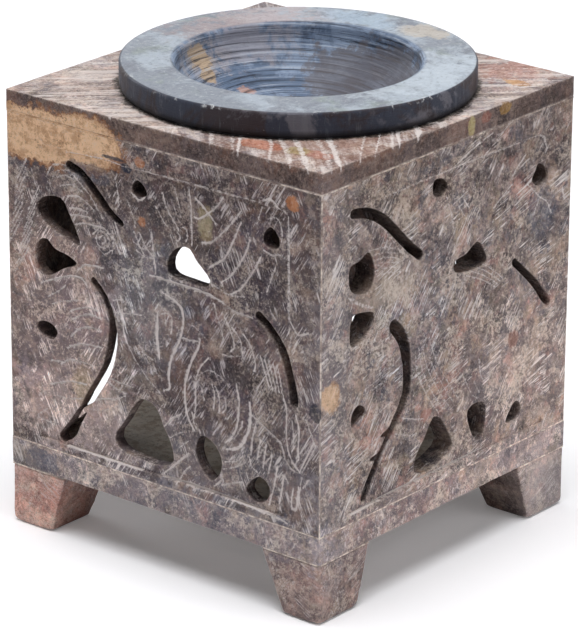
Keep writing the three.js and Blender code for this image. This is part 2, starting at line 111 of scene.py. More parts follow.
class Recipe:
    """One material under way: it adds nodes, and joins them to what went before."""

    def __init__(self, name, shift=(0, 0, 0)):
        self.material = bpy.data.materials.new(name)
        self.material.use_nodes = True
        self.tree = self.material.node_tree
        self.tree.nodes.clear()
        place = self.node("TexCoord").outputs["Object"]
        self.here = self.node("VectorMath", {0: place, "Scale": 1 / MM}, operation="SCALE").outputs[0]
        self.grain = self.node("VectorMath", {0: self.here, 1: shift}, operation="ADD").outputs[0]
        self.made = {}

    def node(self, kind, inputs=None, **settings):
        """Add a node, set what it is set to, and fill or join its inputs."""
        node = self.tree.nodes.new("ShaderNode" + kind)
        for name, value in settings.items():
            setattr(node, name, value)
        for name, value in (inputs or {}).items():
            if isinstance(value, bpy.types.NodeSocket):
                self.tree.links.new(value, node.inputs[name])
            else:
                node.inputs[name].default_value = value
        return node

    def math(self, operation, *values):
        """Sums, products and the like of numbers."""
        return self.node("Math", dict(enumerate(values)), operation=operation).outputs[0]

    def stretched(self, stretch, turn=(0, 0, 0)):
        """The grain turned, and then squeezed, so that its pattern draws out into lines."""
        angles = [math.radians(a) for a in turn]
        turned = self.node("VectorRotate", {"Vector": self.grain, "Rotation": angles},
                           rotation_type="EULER_XYZ").outputs[0]
        return self.node("VectorMath", {0: turned, 1: stretch}, operation="MULTIPLY").outputs[0]

    def elsewhere(self, k):
        """The grain seen at another spot, so that one pattern doesn't follow another."""
        moved = (31 * k, 17 * k, 53 * k)
        return self.node("VectorMath", {0: self.grain, 1: moved}, operation="ADD").outputs[0]

    def clouds(self, scale, detail=4, roughness=0.55, twist=0, at=None):
        """Soft noise. The same noise is made only once."""
        wanted = (scale, detail, roughness, twist)
        if at is None and wanted in self.made:
            return self.made[wanted]
        noise_node = self.node("TexNoise", {"Vector": at or self.grain, "Scale": scale, "Detail": detail,
                                            "Roughness": roughness, "Distortion": twist})
        if at is None:
            self.made[wanted] = noise_node.outputs[0]
        return noise_node.outputs[0]

    def cells(self, scale, at):
        """Cells, each of a colour of its own."""
        return self.node("TexVoronoi", {"Vector": at, "Scale": scale}).outputs["Color"]

    def step(self, value, low, high, most=1.0):
        """From 0 at low to most at high, softly. Low may be above high."""
        return self.node("MapRange", {"Value": value, "From Min": low, "From Max": high,
                                      "To Max": most}, interpolation_type="SMOOTHSTEP").outputs[0]

    def blend(self, amount, under, over, how="MIX"):
        """One colour over another."""
        return self.node("Mix", {0: amount, 6: under, 7: over}, data_type="RGBA",
                         blend_type=how).outputs[2]

    def lay(self, under, over, pattern, low, high, most=1.0, how="MIX"):
        """One colour over another, where a pattern runs from low to high."""
        return self.blend(self.step(pattern, low, high, most), under, over, how)

    def attribute(self, name):
        """A value that the mesh carries on its vertices."""
        return self.node("Attribute", attribute_name=name).outputs["Fac"]

    def patch(self, centre, reach, ragged=0.6, soft=0.3, boxy=False, most=1.0):
        """Up to 1 inside a ragged spot round a centre, 0 outside it."""
        away = self.node("VectorMath", {0: self.here, 1: centre}, operation="SUBTRACT").outputs[0]
        away = self.node("VectorMath", {0: away, 1: reach}, operation="DIVIDE").outputs[0]
        if boxy:
            split = self.node("SeparateXYZ", {0: away})
            parts = [self.math("ABSOLUTE", part) for part in split.outputs]
            far = self.math("MAXIMUM", self.math("MAXIMUM", parts[0], parts[1]), parts[2])
        else:
            far = self.node("VectorMath", {0: away}, operation="LENGTH").outputs["Value"]
        torn = self.math("MULTIPLY_ADD", self.clouds(0.3, 8, 0.76), 4 * ragged, far)
        return self.step(torn, 1 + 2 * ragged + soft / 2, 1 + 2 * ragged - soft / 2, most)


# %% [markdown]
# ## Stone
#
# This soapstone is a brown and pink breccia: broken flakes set in a finer ground, with cream flecks
# where talc shows. One recipe mixes it for all slabs. Broad clouds carry the change from brown to
# blue grey, cell patterns make the flakes, and fine noise the flecks. Then come the marks of
# work: rasp scratches over the face, and pale dust in every groove that a blade has cut. The dust
# follows an attribute, "dust", which the carving cells below store on each vertex.

# %% Mix the brown stone
DUST = srgb(224, 215, 212)
CREAM, TAN, OLIVE = srgb(214, 198, 184), srgb(172, 148, 128), srgb(126, 118, 100)
PINK, SLATE, SHADE = srgb(178, 132, 122), srgb(98, 102, 118), srgb(44, 34, 38)
DARKER, PALER = (0.56, 0.57, 0.62, 1), (1.4, 1.32, 1.26, 1)     # times the stone's own colour
STONE_GLOSS = 0.15              # dusty stone shines less than most things, which have 0.5


def flakes_of(mix, tones, scale, k):
    """Broken flakes of one size: each takes one of the stone's colours by chance."""
    ground, light, dark = tones
    spot = mix.elsewhere(k + 5)
    wobble = mix.node("TexNoise", {"Vector": spot, "Scale": scale * 1.6, "Detail": 5.0,
                                   "Roughness": 0.75}).outputs["Color"]
    bent = mix.node("VectorMath", {0: wobble, 1: (1.6 / scale,) * 3, 2: spot},
                    operation="MULTIPLY_ADD").outputs[0]
    chance = mix.node("SeparateColor", {0: mix.cells(scale, bent)}).outputs[k % 3]
    ramp = mix.node("ValToRGB", {0: chance})
    shades = (SHADE, dark, SLATE, dark, ground, PINK, light, OLIVE, TAN, CREAM)
    while len(ramp.color_ramp.elements) < len(shades):
        ramp.color_ramp.elements.new(0.5)
    for i, (stop, shade) in enumerate(zip(ramp.color_ramp.elements, shades)):
        stop.position, stop.color = i / (len(shades) - 1), shade
    return ramp.outputs[0]


SCRATCHES = (1.6, 1.6, 0.12), (2.8, 2.8, 0.3), (3.6, 3.6, 0.16)     # how each kind is squeezed


def brown_stone(name, shift, tones, blotches, flakes=0.5, speckle=0.6, scratch=0.6,
                turns=((0, -32, 0), (0, 24, 0))):
    """The stone's colour on its way to the shader, before any stains."""
    ground, light, dark = tones
    mix = Recipe(name, shift)
    colour = ground
    for k, (tone, rarity) in enumerate(blotches):
        torn = mix.clouds(0.055 + 0.02 * k, 8, 0.7, 0.4, mix.elsewhere(k + 1))
        colour = mix.lay(colour, tone, torn, rarity, rarity + 0.05, 0.75)
    broad, mottle = mix.clouds(0.1, 8, 0.7, 0.6, mix.elsewhere(7)), mix.clouds(0.3, 8, 0.76)
    colour = mix.lay(colour, dark, mottle, 0.49, 0.4, 0.9)
    colour = mix.lay(colour, light, mottle, 0.52, 0.61, 0.7)
    for k, (scale, share) in enumerate(((0.22, 1), (0.6, 0.9), (1.5, 0.45))):
        torn = mix.clouds(scale * 0.5, 4, 0.65, 0, mix.elsewhere(k + 5))
        shown = mix.step(torn, 0.46, 0.58, flakes * share)
        colour = mix.blend(shown, colour, flakes_of(mix, tones, scale, k))
    # some places are darker and bluer as a whole, and some paler and warmer
    colour = mix.lay(colour, DARKER, broad, 0.49, 0.43, how="MULTIPLY")
    colour = mix.lay(colour, PALER, broad, 0.52, 0.6, how="MULTIPLY")
    # cream specks that crowd together here and there, and dark grains
    crowd = mix.clouds(0.15, 5, 0.7, 0.5, mix.elsewhere(9))
    fine = mix.clouds(1.3, 6, 0.86)
    specks = mix.step(mix.math("MULTIPLY_ADD", crowd, 0.6, fine), 0.83, 0.9, speckle)
    colour = mix.blend(specks, colour, CREAM)
    colour = mix.lay(colour, SHADE, fine, 0.45, 0.37, 0.55)
    grains = mix.clouds(3.4, 3, 0.75)
    colour = mix.lay(colour, light, grains, 0.52, 0.66, 0.35)
    colour = mix.lay(colour, SHADE, grains, 0.48, 0.34, 0.5)
    # scratches, one way in some places and another way in the rest, some long and some short
    where = mix.clouds(0.12, 5, 0.65, 0, mix.elsewhere(13))
    for turn, low, high in zip(turns, (0.53, 0.47), (0.6, 0.4)):
        for squeeze, rare in zip(SCRATCHES, (0.555, 0.58, 0.57)):
            line = mix.clouds(1.0, 4, 0.65, 0.25, mix.stretched(squeeze, turn))
            amount = mix.math("MULTIPLY", mix.step(line, rare, rare + 0.07),
                              mix.step(where, low, high, scratch))
            colour = mix.blend(amount, colour, DUST)
    return mix, colour


# %% [markdown]
# Some stains lie across two slabs, such as the sandy patch at one upper corner, where the cement
# was wiped over the joint. They are listed once, by their place on the burner, and every stone that
# they touch takes them from the same list, so that a stain runs on over the joint.

# %% Stains, and the finished surface
FRONT, RIGHT, TOP, RIM = -37.5, 38, 87.3, 92.4      # where these faces lie, in millimetres
SANDY, RUST, NAVY = srgb(232, 193, 156), srgb(200, 132, 86), srgb(44, 50, 68)
# the second colour here is painted light for the inner face of the base, where light comes in through the
# door
SCORCHED, PAINTED_INNER_LIGHT = srgb(160, 112, 78), srgb(228, 218, 204)
SOOT_AND_SHADE = (0.2, 0.16, 0.15, 1)    # what is left of the stone's colour under full soot and full painted shade
# how a mark ends: how ragged, how soft, and whether it is a box rather than a ball
SPOT, WIPED = (0.7, 0.3, False), (0.4, 0.12, False)
BROAD, EDGE = (1.3, 0.9, False), (0.05, 0.03, False)
# where a wall as a whole is paler or darker: (centre, reach, how it is mixed, with what)
SHADES = [
    ((-26, FRONT, 44), (12, 3, 22), "MULTIPLY", (1.5, 1.38, 1.34)),
    ((-26, FRONT, 44), (14, 3, 24), "SCREEN", (0.105, 0.082, 0.076)),
    ((-20, FRONT, 26), (19, 3, 8), "MULTIPLY", (1.4, 1.36, 1.34)),
    ((-20, FRONT, 26), (19, 3, 8), "SCREEN", (0.12, 0.1, 0.095)),
    ((-3, FRONT, 53), (9, 3, 11), "MULTIPLY", (1.4, 1.5, 1.56)),
    ((-3, FRONT, 53), (9, 3, 11), "SCREEN", (0.06, 0.062, 0.066)),
    ((9, FRONT, 44), (12, 3, 13), "MULTIPLY", (0.82, 0.8, 0.84)),
    ((14, FRONT, 25.5), (26, 3, 6), "SCREEN", (0.06, 0.058, 0.066)),
    ((34, FRONT, 46), (4.5, 3, 28), "SCREEN", (0.035, 0.028, 0.032)),
    ((8, FRONT, 15), (44, 3, 4), "SCREEN", (0.06, 0.065, 0.085)),
    ((8, FRONT, 77), (34, 3, 8), "MULTIPLY", (0.86, 0.84, 0.86)),
    ((30, 20, 91), (18, 24, 4), "MULTIPLY", (1.25, 1.25, 1.25)),
    ((RIGHT, 24, 30), (3, 18, 18), "MULTIPLY", (1.32, 1.25, 1.22)),
    ((RIGHT, 24, 30), (3, 18, 18), "SCREEN", (0.07, 0.06, 0.058)),
    ((RIGHT, -34, 45), (3, 5, 34), "SCREEN", (0.08, 0.075, 0.082)),
    ((RIGHT, -12, 52), (3, 10, 12), "MULTIPLY", (1.12, 1.2, 1.28)),
    ((RIGHT, 0, 15), (3, 44, 4), "MULTIPLY", (1.2, 1.16, 1.16)),
    ((RIGHT, 0, 15), (3, 44, 4), "SCREEN", (0.06, 0.055, 0.06)),
    ((RIGHT, 32, 6), (3, 8, 9), "SCREEN", (0.15, 0.13, 0.135)),
    ((RIGHT, 28, 79), (3, 14, 9), "MULTIPLY", (0.72, 0.7, 0.7)),
    ((RIGHT, -14, 79), (3, 14, 6), "MULTIPLY", (0.85, 0.83, 0.8)),
]
# (centre, reach, colour, strength, how it ends)
STAINS = [
    ((-29, FRONT, 79.6), (13, 3, 6.2), SCORCHED, 0.85, WIPED),
    ((-19, FRONT, 80.6), (10.4, 3, 5.8), SCORCHED, 0.85, WIPED),
    ((-30, FRONT, 79.8), (12.4, 3, 5.4), SANDY, 0.97, WIPED),
    ((-19, FRONT, 80.9), (9.4, 3, 4.9), SANDY, 0.97, WIPED),
    ((-8.4, FRONT, 78), (1.5, 2, 1.0), NAVY, 0.95, SPOT),
    ((-11.5, FRONT, 79.4), (2.6, 2, 0.4), NAVY, 0.85, SPOT),
    ((-18.5, FRONT, 75), (6, 2, 2), SLATE, 0.6, SPOT),
    ((31.4, FRONT, 80.3), (1.6, 2, 1.6), RUST, 0.75, SPOT),
    ((-4.8, FRONT, 79.8), (1.3, 2, 0.9), RUST, 0.6, SPOT),
    ((-4.8, FRONT, 68.4), (1.1, 2, 1.0), RUST, 0.6, SPOT),
    ((36.9, FRONT, 41.8), (1.4, 2, 1.8), NAVY, 0.8, SPOT),
    ((-29.5, FRONT, 14.7), (4.5, 3, 2.2), SLATE, 0.6, SPOT),
    ((10.4, FRONT, 71.5), (2, 2, 3.2), srgb(190, 178, 140), 0.5, SPOT),
    ((-20, FRONT, 32), (3, 2, 4), srgb(178, 156, 116), 0.4, SPOT),
    ((RIGHT, -35.2, 44), (3, 3, 2.8), SANDY, 0.75, SPOT),
    ((RIGHT, 28.5, 62.7), (3, 4.5, 5), SLATE, 0.6, SPOT),
    ((RIGHT, 34.5, 60), (3, 3, 4), NAVY, 0.35, SPOT),
    ((RIGHT, -18, 60), (3, 9, 4), CREAM, 0.4, BROAD),
    ((RIGHT, -5.7, 31.8), (2, 1.6, 1.4), PINK, 0.8, SPOT),
    ((RIGHT, 20.9, 39), (2, 1.6, 1.6), PINK, 0.7, SPOT),
]


def finish_stone(mix, colour, stains, roughness=(0.5, 0.75), ridges=None):
    """Add the shades, stains, dust of cutting, worn edges, soot and painted shade, gloss and fine relief.
    """
    grit, mottle = mix.clouds(1.3, 6, 0.86), mix.clouds(0.3, 8, 0.76)
    for centre, reach, way, tone in SHADES:
        colour = mix.blend(mix.patch(centre, reach, *BROAD), colour, (*tone, 1), way)
    for centre, reach, stain, strength, (ragged, soft, boxy) in stains:
        spot = mix.patch(centre, reach, ragged, soft, boxy, strength)
        deeper = (*(part * share for part, share in zip(stain, (0.6, 0.5, 0.42))), 1)
        grainy = mix.lay(stain, deeper, mottle, 0.53, 0.43, 0.8)
        grainy = mix.lay(grainy, SHADE, grit, 0.46, 0.38, 0.5)
        grainy = mix.lay(grainy, CREAM, grit, 0.52, 0.62, 0.4)
        colour = mix.blend(spot, colour, grainy)
    # thick dust always shows; thin dust lies only on the higher grains
    crumbs = mix.clouds(1.6, 5, 0.78)
    heap = mix.math("MULTIPLY_ADD", mix.attribute("dust"), 1.5, mix.math("MULTIPLY", crumbs, 3))
    colour = mix.lay(colour, DUST, heap, 1.75, 2.55, 0.9)
    worn = mix.math("MULTIPLY", mix.attribute("worn"), mix.step(crumbs, 0.44, 0.62, 0.6))
    colour = mix.blend(worn, colour, srgb(206, 190, 180))
    # the 'inside' value darkens the stone for soot and for painted shade: in the openings, inside the box
    # and under it
    inside = mix.attribute("inside")
    colour = mix.blend(inside, colour, SOOT_AND_SHADE, "MULTIPLY")
    height = mix.math("ADD", mix.clouds(0.9, 6, 0.7), mix.math("MULTIPLY", mix.clouds(4, 3, 0.6), 0.35))
    if ridges:
        squeeze, turn = ridges
        teeth = mix.clouds(1.0, 3, 0.6, 0, mix.stretched(squeeze, turn))
        cut = mix.step(inside, 0.1, 0.3)
        height = mix.math("ADD", height, mix.math("MULTIPLY", teeth, mix.math("MULTIPLY", cut, 5)))
        colour = mix.blend(mix.math("MULTIPLY", cut, mix.step(teeth, 0.52, 0.62, 0.3)), colour,
                           srgb(120, 100, 92))
    bump = mix.node("Bump", {"Strength": 0.7, "Distance": 0.3 * MM, "Height": height}).outputs[0]
    rough = mix.node("MapRange", {"Value": mix.clouds(0.5, 5, 0.6), "From Min": 0.3, "From Max": 0.7,
                                  "To Min": roughness[0], "To Max": roughness[1]}).outputs[0]
    shader = mix.node("BsdfPrincipled", {"Base Color": colour, "Roughness": rough, "Normal": bump,
                                         "Specular IOR Level": STONE_GLOSS})
    mix.node("OutputMaterial", {"Surface": shader.outputs[0]})
    print(mix.material.name, "is mixed from", len(mix.tree.nodes), "nodes")
    return mix.material


def stains_near(face_axis, level):
    """The stains whose centre lies on one side of the burner."""
    return [stain for stain in STAINS if abs(stain[0][face_axis] - level) < 1]


print(len(STAINS), "stains and", len(SHADES), "shades listed")

# %% [markdown]
# ## Working stone on the bench
#
# A slab of the CAD model has few, large faces, which can't take a scratch. These helpers get a copy
# of it ready. Planes cut it into small square cells, then the edges near anything fine are
# halved again and again, so that the mesh is dense along scratches and corners and open elsewhere.
# A mesh of even density fine enough for the scratches would have millions of faces.

# %% Copy a slab and cut it into cells
CELL = 1.6 * MM                 # the side of a cell before any halving
FINE = 0.2 * MM                 # about how long an edge is along scratches and corners
FLAT = math.radians(0.5)        # faces that meet at less than this lie in one plane
FAR_AWAY = (9, 9, 9)            # metres


def merged_copy(node):
    """A bmesh copy of a measured piece, its loose triangles joined up."""
    bm = bmesh.new()
    bm.from_mesh(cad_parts[node].data)
    bmesh.ops.remove_doubles(bm, verts=bm.verts, dist=0.001 * MM)
    return bm


def cut_cells(bm, size=CELL):
    """Saw the body along all three axes, and drop the old triangles' diagonals."""
    for edge in bm.edges:
        edge.seam = edge.is_manifold and edge.calc_face_angle(0) < FLAT
    corners = [vert.co for vert in bm.verts]
    for axis in range(3):
        low, high = min(c[axis] for c in corners), max(c[axis] for c in corners)
        count = max(1, round((high - low) / size))
        for i in range(1, count):
            place, way = Vector((0, 0, 0)), Vector((0, 0, 0))
            place[axis], way[axis] = low + (high - low) * i / count, 1
            bmesh.ops.bisect_plane(bm, geom=bm.verts[:] + bm.edges[:] + bm.faces[:], dist=0.002 * MM,
                                   plane_co=place, plane_no=way)
    bmesh.ops.dissolve_edges(bm, edges=[e for e in bm.edges if e.seam], use_verts=True)
    bmesh.ops.remove_doubles(bm, verts=bm.verts, dist=0.03 * MM)
    bmesh.ops.triangulate(bm, faces=bm.faces)


# %% [markdown]
# Scratches and rims need small faces, and the open stone between them doesn't. A subdivision
# modifier would split a whole wall alike. These helpers list points along every sharp edge instead,
# keep them in a tree that finds the nearest one fast, and then halve each edge of the mesh that is
# too long for how near it lies to such a point or to a scratch.

# %% Make the mesh dense where it matters
def corner_points(bm, near=None, sharp=math.radians(28), spacing=0.3 * MM):
    """Points along every sharp edge, kept in a tree that finds the nearest one."""
    points = []
    for edge in bm.edges:
        if edge.is_manifold and edge.calc_face_angle(0) > sharp:
            start, end = edge.verts[0].co, edge.verts[1].co
            count = max(1, math.ceil((end - start).length / spacing))
            points += [start.lerp(end, (i + 0.5) / count) for i in range(count)]
    if near:
        points = [p for p in points if near(p)]
    return tree_of(points)


def tree_of(points):
    """A tree of points. A lone point far away stands for none at all."""
    tree = kdtree.KDTree(max(1, len(points)))
    for i, point in enumerate(points):
        tree.insert(point, i)
    if not points:
        tree.insert(FAR_AWAY, 0)
    tree.balance()
    return tree


def refine(bm, distance, fine=FINE, grow=0.55, flat=0.35 * MM, rounds=4):
    """Halve the edges that are too long for how near they are to fine work."""
    for _ in range(rounds):
        long = []
        for edge in bm.edges:
            start, end = edge.verts[0].co, edge.verts[1].co
            length = (end - start).length
            if length > fine * 1.5:
                wanted = fine + grow * max(0, distance((start + end) / 2) - flat)
                if length > wanted * 1.5:
                    long.append(edge)
        if not long:
            break
        bmesh.ops.subdivide_edges(bm, edges=long, cuts=1)
        bmesh.ops.triangulate(bm, faces=[face for face in bm.faces if len(face.verts) > 3])


# %% [markdown]
# ## Scratches
#
# The carver drew with a point: each line starts light, bites, and lifts out again, and leaves a
# groove up to a third of a millimetre deep with pale dust in it. A drawn line is written below as a few
# points, on a face 80 wide, with its middle over 0 and the table at 0. A smooth curve is run through
# the points, and every vertex that it passes sinks by the groove's depth at that spot. A pattern in the
# material alone would be quicker, but it would vanish in a side light, where these lines catch it.

# %% Draw grooves on a face
DRAWING_WIDTH = 80
DRAWN = 76 * MM / DRAWING_WIDTH            # the real walls are 76 mm wide


def flowing(points, spacing):
    """A smooth curve through drawn points, as evenly spaced samples."""
    before, after = points[0] * 2 - points[1], points[-1] * 2 - points[-2]
    ends = [before, *points, after]
    samples = []
    for a, b, c, d in zip(ends, ends[1:], ends[2:], ends[3:]):
        count = max(1, round((c - b).length / spacing))
        for i in range(count):
            t = i / count
            samples.append((b * 2 + (c - a) * t + (a * 2 - b * 5 + c * 4 - d) * t * t
                            + (b * 3 - a - c * 3 + d) * t ** 3) / 2)
    return samples + [points[-1]]


HALO = 0.4                      # how much dust lies beside a groove
BITE_SPACING = 0.12 * MM        # from one sample of a groove to the next
THINNEST = 0.17 * MM            # half the narrowest groove that the mesh can show


class Face:
    """One flat face of a slab, with the grooves drawn on it."""

    def __init__(self, across, up, outward, level):
        self.across, self.up, self.outward, self.level = across, up, outward, level
        self.samples = []

    def place(self, point):
        """Where a point of the body lies on the drawing."""
        return Vector((point.dot(self.across), point.dot(self.up), 0))

    def below(self, point):
        """How far a point of the body lies under the face."""
        return self.level - point.dot(self.outward)

    def draw(self, points, width, strength, depth=0.32 * MM):
        """Add one groove. It is narrow and shallow at its ends."""
        samples = flowing(points, BITE_SPACING)
        for i, spot in enumerate(samples):
            along = i / max(1, len(samples) - 1)
            bite = min(1, 0.35 + 3.5 * min(along, 1 - along))
            waver = 0.8 + 0.4 * noise.noise(spot * 900)
            self.samples.append((spot, width / 2 * bite * waver, depth * bite * strength, strength))

    def draw_all(self, strokes, fans):
        """Add a whole drawing."""
        for width, strength, points in strokes:
            self.draw([Vector((x, z, 0)) * DRAWN for x, z in points], width * MM, strength)
        for width, strength, count, first, last in fans:
            for i in range(count):
                share = i / (count - 1)
                self.draw([Vector((a[0], a[1], 0)).lerp(Vector((b[0], b[1], 0)), share) * DRAWN
                           for a, b in zip(first, last)], width * MM, strength)

    def sharpen(self):
        """Sort the grooves for the search, once all are drawn."""
        self.tree = tree_of([sample[0] for sample in self.samples])

    def groove(self, point, reach=0.9 * MM):
        """How deep the grooves are under a point, and how much dust lies there and beside them."""
        deep, dust = 0.0, 0.0
        for _, i, away in self.tree.find_range(self.place(point), reach):
            _, half, depth, strength = self.samples[i]
            dust = max(dust, HALO * strength * (1 - away / reach))
            half = max(half, THINNEST)
            if away < half:
                share = 1 - (away / half) ** 2
                deep = max(deep, depth * share)
                dust = max(dust, strength * min(1, share * 1.3))
        return deep, dust


# %% [markdown]
# A face only knows its own drawing. The next helpers cut it into a body, rub the corners down as
# handling does, make the faces a little uneven, and hand the finished body over in place of its
# measured node. A boolean cut for each scratch would be slow and tear up the mesh, so the points of
# the mesh sink instead. On the way they store what the stone recipe asks for: dust, worn corners,
# soot and painted shade, and which faces are sides.

# %% Cut the grooves into a body
def attributes(bm):
    """Room on every vertex for dust, wear, soot and painted shade, and whether it is on a side."""
    return [bm.verts.layers.float.new(name) for name in ("dust", "worn", "inside", "side")]


def carve(bm, face, reach=1.2 * MM):
    """Sink every groove, and mark the dust for the material."""
    dust = attributes(bm)[0]
    bm.normal_update()
    for vert in bm.verts:
        below = face.below(vert.co)
        if below < reach:
            deep, pale = face.groove(vert.co)
            fade = min(1, 1.5 * (1 - below / reach))
            vert[dust] = pale * fade
            vert.co -= face.outward * deep * fade


def mark_corners(bm, corners, width=0.4 * MM):
    """Mark the worn strips along the corners."""
    worn = bm.verts.layers.float["worn"]
    for vert in bm.verts:
        vert[worn] = max(0, 1 - corners.find(vert.co)[2] / width)


def soften(bm, corners, width=0.3 * MM, times=3):
    """Rub the sharp corners down, as handling does."""
    near = [v for v in bm.verts if corners.find(v.co)[2] < width]
    for _ in range(times):
        bmesh.ops.smooth_vert(bm, verts=near, factor=0.5, use_axis_x=True, use_axis_y=True,
                              use_axis_z=True)


def unevenness(bm, amount=0.05 * MM, scale=180):
    """Low waves over the whole body, as stone shaped by hand has."""
    bm.normal_update()
    for vert in bm.verts:
        wave = noise.noise(vert.co * scale) + 0.5 * noise.noise(vert.co * scale * 4)
        vert.co += vert.normal * amount * wave


def finish_piece(bm, name, material, node, sharp=math.radians(40)):
    """Turn a finished body into an object that stands for its measured node."""
    mesh = bpy.data.meshes.new(name)
    bm.to_mesh(mesh)
    bm.free()
    for spare in ("custom_normal", "sharp_face"):
        if spare in mesh.attributes:
            mesh.attributes.remove(mesh.attributes[spare])
    mesh.shade_smooth()
    mesh.set_sharp_from_angle(angle=sharp)
    mesh.materials.clear()
    mesh.materials.append(material)
    piece = bpy.data.objects.new(name, mesh)
    bpy.context.scene.collection.objects.link(piece)
    body = "dish" if node == "dish" else "burner"
    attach(piece, body)
    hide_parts(node)
    print(name, "has", sum(len(p.vertices) - 2 for p in mesh.polygons), "triangles")
    return piece


# %% [markdown]
# ## The front wall
#
# The wall is a slab with nine openings, three saw slots and a field that is set a little back. Its
# drawing is the elephant: an eye and brow, the wrinkled trunk to the left of the long slot, the ear,
# the haunch, the tail, and rays that fill the corner above its back. Each line is its width in
# millimetres, its strength, and its points. A fan is a row of lines between a first and a last one.

